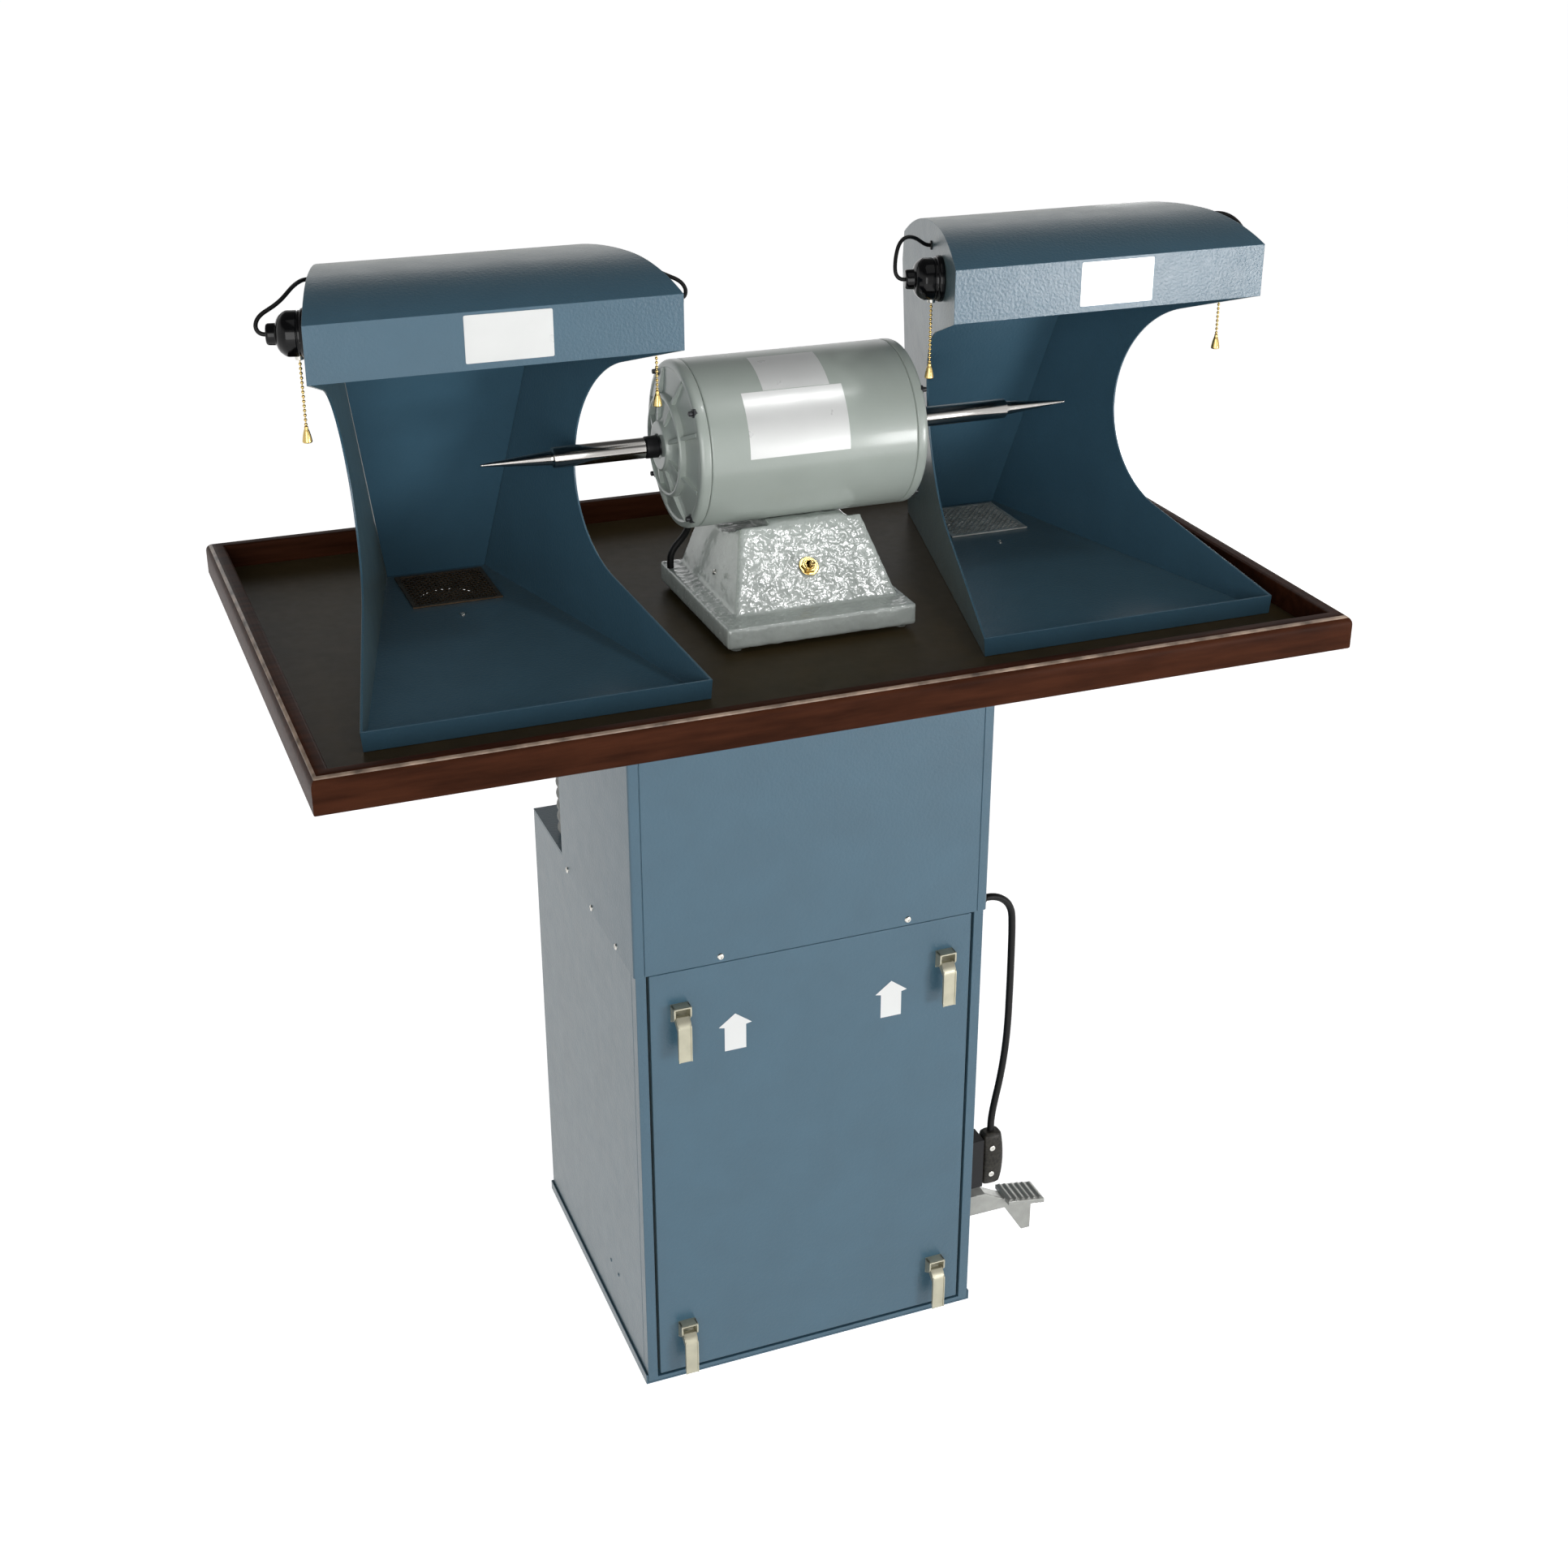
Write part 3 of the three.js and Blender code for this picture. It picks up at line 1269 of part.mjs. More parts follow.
function plugOutline(height) {
  const top = plugTop;
  const bottom = plugTop - height;
  const half = plugWidth / 2;
  const tail = plugTailWidth / 2;
  return [
    [cordY - tail, top], [cordY - half, top - height / 3], [cordY - half, top - (height * 2) / 3],
    [cordY - tail, bottom], [cordY + tail, bottom], [cordY + half, top - (height * 2) / 3],
    [cordY + half, top - height / 3], [cordY + tail, top],
  ];
}

function plugMiddle() {
  return plugTop - plugHeight / 2;
}

function plug() {
  const back = plugX - plugThickness / 2;
  const body = prismX(plugOutline(plugHeight), back, back + plugThickness);
  const prongs = prongPlaces().map(([y, z]) => block(
    back - prongLength, back + sheet / 2, y - prongThickness / 2, y + prongThickness / 2,
    z - prongWidth / 2, z + prongWidth / 2,
  ));
  return joined(body, ...prongs);
}

function prongPlaces() {
  return [[cordY - prongSpacing / 2, plugMiddle()], [cordY + prongSpacing / 2, plugMiddle()]];
}

function outlet() {
  const face = plugX - plugThickness / 2 - gap;
  const half = outletWidth / 2;
  const middle = plugMiddle();
  const body = block(
    halfWidth + gap, face, cordY - half, cordY + half,
    middle - outletBlockHeight / 2, middle + outletBlockHeight / 2,
  );
  return prongPlaces().reduce((sum, [y, z]) => sum.subtract(block(
    face - prongLength - gap, face + overrun, y - prongThickness / 2 - gap, y + prongThickness / 2 + gap,
    z - prongWidth / 2 - gap, z + prongWidth / 2 + gap,
  )), body);
}

// Cabinet, column and tray
piece("base_pan", basePan(), bluePaint);
piece("cabinet_shell", cabinetShell(), bluePaint);
piece("cabinet_top_plate", cabinetTopPlate(), bluePaint);
piece("door_frame", doorFrame(), bluePaint);
piece("door", door(), bluePaint);
latchPlaces.forEach(([name, x, z]) => piece(`latch_lever_${name}`, latchLever(x, z), zinc));
piece("column_shell", columnShell(), bluePaint);
piece("column_rear_panel", columnRearPanel(), bluePaint);
piece("tray_rim", trayRim(), mahogany);
piece("tray_board", trayBoard(), trayBrown);

// Hoods with their screens and lamps
const hoodPlaces = [["left", leftHoodX, leftHoodLeadRoute], ["right", rightHoodX, rightHoodLeadRoute]];
hoodPlaces.forEach(([name, x, leadRoute]) => {
  const group = new THREE.Group();
  group.position.set(x, 0, hoodBase);
  machine.add(group);
  piece(`${name}_hood`, hoodShell(), bluePaint, group);
  piece(`${name}_hood_screen`, hoodScreen(), darkSteel, group);
  [["left", -1], ["right", 1]].forEach(([end, side]) => {
    piece(`${name}_hood_${end}_lamp_socket`, lampSocket(side), blackGloss, group);
    piece(`${name}_hood_${end}_lamp_bulb`, lampBulb(side), glass, group);
    piece(`${name}_hood_${end}_lamp_lead`, lampLead(side, leadRoute), blackRubber, group);
    piece(`${name}_hood_${end}_pull_chain`, pullChain(side), brass, group);
  });
});

// Motor, spindles and pedestal
const motor = new THREE.Group();
motor.position.set(motorX, motorY, axisZ);
machine.add(motor);
piece("motor_shell", motorShell(), greyPaint, motor);
piece("stator", stator(), copper, motor);
piece("rotor_shaft", rotorShaft(), darkSteel, motor);
[["left", -1], ["right", 1]].forEach(([name, side]) => {
  piece(`${name}_end_bell`, endBell(side), greyPaint, motor);
  piece(`${name}_bearing`, bearing(side), polishedSteel, motor);
  piece(`${name}_spindle`, spindle(side), polishedSteel, motor);
});
piece("motor_pedestal", pedestal(), castPaint);
const raisedRoute = motorLeadRoute.map(([x, y, z]) => [pedestalLeft + x, y, boardTop + z]);
piece("motor_lead", cord(raisedRoute, motorLeadDiameter, motorLeadSteps), blackRubber);
piece("switch_body", switchBody(), brass);
piece("toggle_lever", toggleLever(), brass);

// Air path: hoses, blower, rack and bags
piece("left_hose", hose(leftHoodX, -hoseInletX), hoseGrey);
piece("right_hose", hose(rightHoodX, hoseInletX), hoseGrey);
piece("blower_housing", blowerHousing(), greyPaint);
piece("blower_motor", blowerMotor(), darkSteel);
piece("impeller", impeller(), aluminium);
piece("bag_rack", bagRack(), zinc);
piece("left_filter_bag", filterBag(-bagX), filterCloth);
piece("right_filter_bag", filterBag(bagX), filterCloth);

// Foot pedal and mains cord
piece("pedal_lever", pedalLever(), aluminium);
piece("pedal_bracket", pedalBracket(), zinc);
piece("cord_gland", cordGland(), blackRubber);
piece("power_cord", cord(cordRoute, cordDiameter, mainsCordSteps), blackRubber);
piece("plug", plug(), blackRubber);
piece("outlet", outlet(), blackRubber);

export default machine;
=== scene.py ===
# The looks of the double spindle polishing machine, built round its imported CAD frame. Lengths in the
# shapes are millimetres, as in the CAD source, and every object is made in metres.
import math

import bmesh
import bpy
from mathutils import Matrix, Vector, noise


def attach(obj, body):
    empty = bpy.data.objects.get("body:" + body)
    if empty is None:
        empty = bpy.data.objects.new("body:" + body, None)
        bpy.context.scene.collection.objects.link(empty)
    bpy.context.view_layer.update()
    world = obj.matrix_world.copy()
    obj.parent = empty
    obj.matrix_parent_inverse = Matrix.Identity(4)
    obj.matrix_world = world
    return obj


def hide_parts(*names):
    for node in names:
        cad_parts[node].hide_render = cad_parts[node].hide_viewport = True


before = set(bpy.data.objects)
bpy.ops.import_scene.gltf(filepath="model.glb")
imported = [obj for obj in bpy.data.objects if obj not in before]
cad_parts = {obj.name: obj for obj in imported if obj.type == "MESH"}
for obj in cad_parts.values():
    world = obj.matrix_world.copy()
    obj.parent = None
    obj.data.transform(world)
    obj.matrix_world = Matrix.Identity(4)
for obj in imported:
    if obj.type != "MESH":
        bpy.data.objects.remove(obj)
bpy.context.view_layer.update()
MM = 0.001
scene = bpy.context.scene


# Shapes: points in millimetres and faces, gathered part by part
class Shape:
    def __init__(self):
        self.points, self.faces, self.marks = [], [], []

    def add(self, points, faces, mark=0):
        base = len(self.points)
        self.points += [Vector(point) for point in points]
        self.faces += [[base + i for i in face] for face in faces]
        self.marks += [mark] * len(faces)
        return self

    # A profile of radius and place along an axis, turned about it
    def lathe(self, profile, axis, start=(0, 0, 0), sides=64, mark=0, closed=False):
        n = Vector(axis).normalized()
        u = n.orthogonal().normalized()
        v = n.cross(u)
        rows, points = [], []
        for radius, along in profile:
            centre = Vector(start) + n * along
            if radius < 1e-6:
                rows.append([len(points)])
                points.append(centre)
                continue
            row = []
            for k in range(sides):
                angle = 2 * math.pi * k / sides
                row.append(len(points))
                points.append(centre + u * (radius * math.cos(angle)) + v * (radius * math.sin(angle)))
            rows.append(row)
        pairs = list(zip(rows, rows[1:])) + ([(rows[-1], rows[0])] if closed else [])
        return self.add(points, [face for a, b in pairs for face in between(a, b)], mark)

    # Rings of as many points each, one after another, joined up: with flat ends, or closed on themselves
    def loft(self, points, ring, mark=0, closed=False):
        rings = len(points) // ring
        faces = []
        for i in range(rings if closed else rings - 1):
            a, b = i * ring, (i + 1) % rings * ring
            faces += [[a + k, a + (k + 1) % ring, b + (k + 1) % ring, b + k] for k in range(ring)]
        if not closed:
            faces += [list(range(ring)), list(range(rings * ring - 1, (rings - 1) * ring - 1, -1))]
        return self.add(points, faces, mark)

    # An outline in two coordinates, drawn out along the third
    def prism(self, outline, axis, low, high, mark=0):
        third = "xyz".index(axis)
        points = [(*pair[:third], s, *pair[third:]) for s in (low, high) for pair in outline]
        return self.loft(points, len(outline), mark)

    def box(self, x0, x1, y0, y1, z0, z1, mark=0):
        return self.prism([(x0, y0), (x1, y0), (x1, y1), (x0, y1)], "z", z0, z1, mark)

    # A pan head screw with a recess, standing on a surface
    def screw(self, place, out, radius, height, mark=0):
        profile = [(0, -0.4), (radius, -0.4), (radius, height * 0.35), (radius * 0.82, height * 0.8),
                   (radius * 0.5, height), (radius * 0.42, height), (radius * 0.38, height * 0.45),
                   (0, height * 0.45)]
        return self.lathe(profile, out, place, 24, mark)


# Faces between two rows of a lathe, either of which may be a single point
def between(a, b):
    if len(a) == 1 and len(b) == 1:
        return []
    if len(a) == 1:
        return [[a[0], b[k], b[(k + 1) % len(b)]] for k in range(len(b))]
    if len(b) == 1:
        return [[a[k], b[0], a[(k + 1) % len(a)]] for k in range(len(a))]
    count = len(a)
    return [[a[k], b[k], b[(k + 1) % count], a[(k + 1) % count]] for k in range(count)]


# A line of points with each inner corner rounded
def rounded(points, radius, steps=4, closed=False):
    result = []
    count = len(points)
    for i, point in enumerate(points):
        if not closed and i in (0, count - 1):
            result.append(tuple(point))
            continue
        here, before, after = (Vector(points[k % count]) for k in (i, i - 1, i + 1))
        back, on = before - here, after - here
        reach = min(radius, back.length * 0.45, on.length * 0.45)
        if reach < 1e-4 or back.length < 1e-6 or on.length < 1e-6:
            result.append(tuple(point))
            continue
        first, last = here + back.normalized() * reach, here + on.normalized() * reach
        for k in range(steps + 1):
            t = k / steps
            result.append(tuple(first * (1 - t) ** 2 + here * (2 * t * (1 - t)) + last * t ** 2))
    return result


def signed_power(value, power):
    return math.copysign(abs(value) ** power, value)


def arc(a, b, radius, start, end, steps):
    return [(a + radius * math.cos(start + (end - start) * i / steps),
             b + radius * math.sin(start + (end - start) * i / steps)) for i in range(steps + 1)]


# Points along the smooth curve through a route, as the CAD draws it
def smooth_route(route, steps):
    points = [Vector(point) for point in route]
    points = [points[0] * 2 - points[1], *points, points[-1] * 2 - points[-2]]
    result = []
    for a, b, c, d in zip(points, points[1:], points[2:], points[3:]):
        t1 = math.sqrt((b - a).length)
        t2 = t1 + math.sqrt((c - b).length)
        t3 = t2 + math.sqrt((d - c).length)
        for i in range(steps):
            t = t1 + (t2 - t1) * i / steps
            a1 = a * ((t1 - t) / t1) + b * (t / t1)
            a2 = b * ((t2 - t) / (t2 - t1)) + c * ((t - t1) / (t2 - t1))
            a3 = c * ((t3 - t) / (t3 - t2)) + d * ((t - t2) / (t3 - t2))
            b1 = a1 * ((t2 - t) / t2) + a2 * (t / t2)
            b2 = a2 * ((t3 - t) / (t3 - t1)) + a3 * ((t - t1) / (t3 - t1))
            result.append(b1 * ((t2 - t) / (t2 - t1)) + b2 * ((t - t1) / (t2 - t1)))
    return [*result, points[-2]]


def finish_piece(piece, body, nodes):
    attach(piece, body)
    if nodes:
        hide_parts(*nodes)
    return piece


# Soft bevels on the hard edges, and smooth shading between them
def soften(piece, bevel, segments=2, angle=30):
    for polygon in piece.data.polygons:
        polygon.use_smooth = True
    piece.data.set_sharp_from_angle(angle=math.radians(angle))
    if bevel:
        edges = piece.modifiers.new("edges", "BEVEL")
        edges.width = bevel * MM
        edges.segments = segments
        edges.limit_method = "ANGLE"
        edges.angle_limit = math.radians(angle)
        edges.harden_normals = True
    return piece


def new_object(name, mesh, materials):
    piece = bpy.data.objects.new(name, mesh)
    scene.collection.objects.link(piece)
    for one in materials:
        mesh.materials.append(one)
    return piece


def made(name, shape, materials, body, nodes=(), bevel=0.0, segments=2, angle=30, shell=0.0):
    mesh = bpy.data.meshes.new(name)
    mesh.from_pydata([point * MM for point in shape.points], [], shape.faces)
    for polygon, mark in zip(mesh.polygons, shape.marks):
        polygon.material_index = mark
    work = bmesh.new()
    work.from_mesh(mesh)
    bmesh.ops.recalc_face_normals(work, faces=work.faces)
    work.to_mesh(mesh)
    work.free()
    piece = new_object(name, mesh, materials)
    if shell:
        wall = piece.modifiers.new("wall", "SOLIDIFY")
        wall.thickness = shell * MM
        wall.offset = -1
        wall.use_even_offset = True
    soften(piece, bevel, segments, angle)
    return finish_piece(piece, body, nodes)


# The mesh of a CAD node with its doubled points joined and, where asked, its flat faces joined up
def cad_mesh(node, name, flat=False):
    work = bmesh.new()
    work.from_mesh(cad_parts[node].data)
    bmesh.ops.remove_doubles(work, verts=work.verts, dist=2e-5)
    if flat:
        bmesh.ops.dissolve_limit(work, angle_limit=math.radians(0.6), verts=work.verts, edges=work.edges)
        bmesh.ops.recalc_face_normals(work, faces=work.faces)
    mesh = bpy.data.meshes.new(name)
    work.to_mesh(mesh)
    work.free()
    return mesh


# A copy of a CAD node with its edges softened
def dressed(node, material, body, bevel):
    name = node + "_dressed"
    piece = new_object(name, cad_mesh(node, name, True), [material])
    soften(piece, bevel)
    finish_piece(piece, body, [node])


# A copy of a CAD node remade as a casting, with every edge rounded over. Its faces to the left and right are
# smoother, and take the last of the materials, which can be a paler one with light painted into its colour
# for those shaded sides
def cast_copy(name, node, materials, body, voxel, rounds, rough, size):
    mesh = cad_mesh(node, name + "_rough")
    draft = new_object(name + "_draft", mesh, [])
    remesh = draft.modifiers.new("remesh", "REMESH")
    remesh.mode = "VOXEL"
    remesh.voxel_size = voxel * MM
    smooth = draft.modifiers.new("smooth", "SMOOTH")
    smooth.iterations = rounds
    smooth.factor = 0.5
    ready = bpy.data.meshes.new_from_object(draft.evaluated_get(bpy.context.evaluated_depsgraph_get()))
    bpy.data.objects.remove(draft)
    bpy.data.meshes.remove(mesh)
    ready.name = name
    sideways = 0.6
    for vertex, normal in zip(ready.vertices, [Vector(n.vector) for n in ready.vertex_normals]):
        lift = noise.noise(vertex.co / (size * MM)) * 0.7 + noise.noise(vertex.co * 2.3 / (size * MM)) * 0.3
        vertex.co += normal * (rough * MM * lift * (0.35 if abs(normal.x) > sideways else 1))
    ready.materials.clear()
    piece = new_object(name, ready, materials)
    for polygon in ready.polygons:
        polygon.use_smooth = True
        polygon.material_index = len(materials) - 1 if abs(polygon.normal.x) > sideways else 0
    finish_piece(piece, body, [node])


def line(name, points, radius, material, body, nodes=(), sides=5):
    curve = bpy.data.curves.new(name, "CURVE")
    curve.dimensions = "3D"
    spline = curve.splines.new("POLY")
    spline.points.add(len(points) - 1)
    for place, point in zip(spline.points, points):
        place.co = (*(point * MM), 1)
    curve.bevel_depth = radius * MM
    curve.bevel_resolution = sides
    curve.use_fill_caps = True
    piece = new_object(name, curve, [material])
    return finish_piece(piece, body, nodes)


def feed(tree, node, inputs):
    for key, value in inputs.items():
        if isinstance(value, bpy.types.NodeSocket):
            tree.links.new(value, node.inputs[key])
        else:
            node.inputs[key].default_value = value


# A shader node with its inputs set or, where a socket is given, linked
def shader_node(tree, kind, inputs):
    node = tree.nodes.new("ShaderNode" + kind)
    feed(tree, node, inputs)
    return node


# Materials: colour that drifts a little, roughness that varies, and relief at a coarse and a fine size.
# Coat is its share and roughness; relief and fine are each a height and a size
def finish(name, color, roughness, metallic=0.0, coat=(0.0, 0.08), relief=(0.0, 2.0), fine=(0.0, 0.4),
           drift=0.06, drift_size=60.0, spread=0.06, stretch=(1, 1, 1), specular=0.5, film=0.0,
           film_tint=(1, 1, 1)):
    material = bpy.data.materials.new(name)
    material.use_nodes = True
    tree = material.node_tree
    shader = tree.nodes["Principled BSDF"]
    where = shader_node(tree, "TexCoord", {}).outputs["Object"]
    mapping = shader_node(tree, "Mapping", {"Vector": where, "Scale": stretch})

    def cloud(size, detail):
        inputs = {"Vector": mapping.outputs["Vector"], "Scale": 1 / (size * MM), "Detail": detail}
        return shader_node(tree, "TexNoise", inputs).outputs["Fac"]

    ramp = shader_node(tree, "ValToRGB", {"Fac": cloud(drift_size, 4)})
    for element, place, share in zip(ramp.color_ramp.elements, (0.3, 0.7), (1 - drift, 1 + drift)):
        element.position = place
        element.color = (*[min(1, c * share) for c in color], 1)
    dull = shader_node(tree, "MapRange", {
        "Value": cloud(drift_size * 0.35, 3),
        "To Min": max(0.02, roughness - spread), "To Max": min(1, roughness + spread),
    })
    feed(tree, shader, {
        "Base Color": ramp.outputs["Color"], "Roughness": dull.outputs["Result"], "Metallic": metallic,
        "Coat Weight": coat[0], "Coat Roughness": coat[1], "Specular IOR Level": specular,
        "Sheen Weight": film, "Sheen Roughness": 0.4, "Sheen Tint": (*film_tint, 1),
    })
    normal = None
    for amount, size, detail in ((*relief, 1.5), (*fine, 2)):
        if not amount:
            continue
        height = cloud(size, detail)
        bump = shader_node(tree, "Bump", {"Strength": 1, "Distance": amount * MM, "Height": height})
        if normal:
            tree.links.new(normal, bump.inputs["Normal"])
        normal = bump.outputs["Normal"]
    if normal:
        feed(tree, shader, {"Normal": normal, "Coat Normal": normal})
    return material


blue = finish("blue_enamel", (0.043, 0.106, 0.155), 0.34, coat=(0.1, 0.2), relief=(0.3, 2.8),
              fine=(0.02, 0.8), drift=0.05, spread=0.05, specular=0.6, film=0.07,
              film_tint=(1.0, 0.88, 0.36))
grey = finish("grey_enamel", (0.375, 0.42, 0.385), 0.3, coat=(0.3, 0.12), relief=(0.03, 2.0), drift=0.04)
casting = finish("cast_enamel", (0.45, 0.49, 0.465), 0.25, coat=(1.0, 0.13), relief=(0.8, 6.6),
                 fine=(0.06, 2.6), drift=0.1, drift_size=25)
# Paler enamel for the pedestal's smoother left and right faces: light painted into the colour of sides that
# lie in shade
smooth_cast_painted_light = finish("smooth_cast_enamel_painted_light", (0.60, 0.65, 0.60), 0.26, coat=(0.5, 0.1), relief=(0.25, 9),
                        fine=(0.04, 1.5), drift=0.08, drift_size=25)
mahogany = finish("mahogany", (0.044, 0.014, 0.0065), 0.4, relief=(0.02, 1.2), drift=0.35, drift_size=9,
                  stretch=(0.12, 1, 1), specular=0.03)
# Pale strip for the tray rim's rounded top edge: a painted highlight where that edge catches the light
painted_highlight_strip = finish("painted_highlight_strip", (0.34, 0.25, 0.19), 0.35, fine=(0.03, 0.8), drift=0.7, drift_size=22)
laminate = finish("brown_laminate", (0.040, 0.027, 0.012), 0.38, relief=(0.02, 1.4), drift=0.15,
                  drift_size=30, specular=0.08, film=0.05, film_tint=(1.0, 0.9, 0.45))
steel = finish("polished_steel", (0.46, 0.445, 0.425), 0.14, metallic=1.0, fine=(0.003, 0.5), drift=0.04,
               spread=0.05)
dark_steel = finish("dark_steel", (0.05, 0.052, 0.055), 0.42, metallic=0.7, relief=(0.01, 0.8))
wire_mesh = finish("brown_mesh", (0.13, 0.085, 0.05), 0.42, metallic=0.6, fine=(0.02, 0.6), drift=0.25,
                   drift_size=12)
pale_mesh = finish("pale_mesh", (0.50, 0.51, 0.48), 0.4, metallic=0.3, fine=(0.02, 0.6), drift=0.25,
                   drift_size=12)
zinc = finish("cream_zinc", (0.47, 0.45, 0.345), 0.33, metallic=0.55, fine=(0.01, 0.8), drift=0.08,
              drift_size=14)
nickel = finish("nickel", (0.62, 0.61, 0.57), 0.24, metallic=1.0, fine=(0.004, 0.5))
brass = finish("brass", (0.60, 0.44, 0.17), 0.22, metallic=1.0, fine=(0.004, 0.5), drift=0.08,
               drift_size=10)
black_gloss = finish("black_gloss", (0.003, 0.003, 0.0035), 0.12, fine=(0.006, 1.5), drift=0.15,
                     specular=0.22)
black_satin = finish("black_satin", (0.008, 0.008, 0.009), 0.42, fine=(0.02, 0.6), drift=0.2, specular=0.25)
rubber = finish("black_rubber", (0.006, 0.006, 0.006), 0.45, fine=(0.03, 0.5), drift=0.2, specular=0.2)
mottled = finish("plug_rubber", (0.020, 0.018, 0.014), 0.42, relief=(0.08, 1.6), drift=0.7, drift_size=3,
                 specular=0.25)
aluminium = finish("cast_aluminium", (0.34, 0.345, 0.325), 0.42, metallic=0.55, relief=(0.07, 1.8),
                   fine=(0.03, 0.6), drift=0.1, drift_size=14)
windings = finish("windings", (0.26, 0.11, 0.05), 0.45, metallic=0.6, relief=(0.05, 1.0),
                  stretch=(1, 0.2, 0.2))
glass = finish("frosted_glass", (0.86, 0.83, 0.74), 0.2, coat=(0.3, 0.08), fine=(0.004, 0.5), drift=0.02)
hose_plastic = finish("hose_plastic", (0.26, 0.27, 0.255), 0.5, relief=(0.03, 1.2), drift=0.08)
white_paint = finish("white_paint", (0.80, 0.81, 0.80), 0.45, fine=(0.01, 0.8), drift=0.02)
plate_white = finish("blank_plate", (0.70, 0.71, 0.70), 0.3, metallic=0.2, fine=(0.004, 0.7), drift=0.03)


# Woven cloth: two crossed sets of ribs over a drifting colour
def cloth_finish(name, color, thread):
    material = finish(name, color, 0.9, drift=0.08, drift_size=40, relief=(0.1, 6))
    tree = material.node_tree
    shader = tree.nodes["Principled BSDF"]
    where = shader_node(tree, "TexCoord", {}).outputs["Object"]
    both = shader_node(tree, "Math", {})
    both.operation = "MAXIMUM"
    for place, direction in enumerate(("X", "Z")):
        inputs = {"Vector": where, "Scale": 1 / (thread * MM) / 6.5, "Distortion": 0.6}
        wave = shader_node(tree, "TexWave", inputs)
        wave.bands_direction = direction
        tree.links.new(wave.outputs["Fac"], both.inputs[place])
    relief = shader.inputs["Normal"].links[0].from_socket
    inputs = {"Distance": 0.12 * MM, "Height": both.outputs[0], "Normal": relief}
    weave = shader_node(tree, "Bump", inputs)
    feed(tree, shader, {"Sheen Weight": 0.25, "Normal": weave.outputs["Normal"]})
    return material


cloth = cloth_finish("filter_cloth", (0.60, 0.55, 0.44), 0.9)

# Camera, at the photograph's place
YAW, PITCH, ROLL = 0.3942, -0.4320, 0.0099
camera_data = bpy.data.cameras.new("camera")
camera = bpy.data.objects.new("camera", camera_data)
scene.collection.objects.link(camera)
forward = Vector((math.sin(YAW) * math.cos(PITCH), math.cos(YAW) * math.cos(PITCH), math.sin(PITCH)))
level = Vector((math.cos(YAW), -math.sin(YAW), 0))
lift = level.cross(forward)
across = level * math.cos(ROLL) + lift * math.sin(ROLL)
upward = lift * math.cos(ROLL) - level * math.sin(ROLL)
camera.matrix_world = Matrix((
    (across.x, upward.x, -forward.x, -0.7312), (across.y, upward.y, -forward.y, -1.9848),
    (across.z, upward.z, -forward.z, 1.6396), (0, 0, 0, 1),
))
camera_data.sensor_width = 36
camera_data.lens = 50.08
camera_data.shift_x = -0.0300
camera_data.shift_y = -0.0300
camera_data.clip_end = 120
scene.camera = camera

# Sizes that the CAD source states, in its own millimetres
FRONT = -189
HALF = 192
CORD_Y = -150
PLUG_X, PLUG_TOP = 233, 199
MOTOR = Vector((37, -14, 1001))
MOTOR_HALF = 107.5
HOOD_BASE = 831.3
HOOD_XS = {"left": -288.5, "right": 310.5}

# Mains cord, with the plug that it ends in
cord_route = [(x, CORD_Y, z) for x, z in (
    (214.3, 503), (216.5, 503), (220.7, 502.7), (225.8, 501.5), (230.6, 499.5), (235, 496.6), (238.8, 493.1),
    (241.9, 488.9), (244.2, 484.2), (245.6, 480), (246.6, 474), (247.2, 465), (247.7, 452), (248, 436),
    (248.2, 418), (248.4, 396), (248.4, 370), (248.2, 342), (247, 314), (244.6, 288), (241, 262), (237, 240),
    (234.4, 224), (233.1, 211.5), (233, 199.3),
)]
cord_points = smooth_route(cord_route, 8)
power_cord = line("mains_cord", cord_points, 4.0, rubber, "machine", ["power_cord"], 6)


# Plug: a moulded body, thickest in the middle of its length, with a collar, two screws, a knob and prongs
def plug_piece():
    rows, ring, half = 26, 40, 13.3
    points = []
    for i in range(rows + 1):
        t = i / rows
        z = PLUG_TOP - 0.4 - 69.2 * t
        wide = 7.4 + 6.0 * math.sin(math.pi * t) ** 0.75
        thick = half * (0.78 + 0.22 * math.sin(math.pi * min(1, t * 1.02)) ** 0.6)
        if i in (0, rows):
            wide, thick = wide * 0.82, thick * 0.86
        for k in range(ring):
            angle = 2 * math.pi * k / ring
            x = PLUG_X + thick * signed_power(math.cos(angle), 0.55)
            y = CORD_Y + wide * signed_power(math.sin(angle), 0.55)
            points.append((max(x, PLUG_X - half), y, z))
    shape = Shape().loft(points, ring)
    collar = [(0, 0), (6.2, 0), (5.0, 9), (4.4, 9.2), (0, 9.2)]
    shape.lathe(rounded(collar, 1, 3), (0, 0, 1), (PLUG_X, CORD_Y, PLUG_TOP - 9.4), 32)
    for z in (182, 147):
        shape.lathe([(0, -2), (3.4, -2), (3.4, 0.1), (2.9, 0.35), (1.2, 0.35), (1.0, -0.5), (0, -0.5)],
                    (0, -1, 0), (PLUG_X - 3, CORD_Y - 12.9, z), 24, 1)
    knob = [(0, 0), (3.5, 0), (3.2, 2.2), (0, 2.4)]
    shape.lathe(rounded(knob, 1, 3), (1, 0, 0), (PLUG_X + 11.2, CORD_Y, 168), 24)
    for y in (CORD_Y - 6.35, CORD_Y + 6.35):
        shape.box(PLUG_X - 25.4, PLUG_X - 12, y - 0.8, y + 0.8, 160.8, 167.3, 2)
    return made("plug_body", shape, [mottled, nickel, brass], "machine", ["plug"], 0.5)


plug_body = plug_piece()

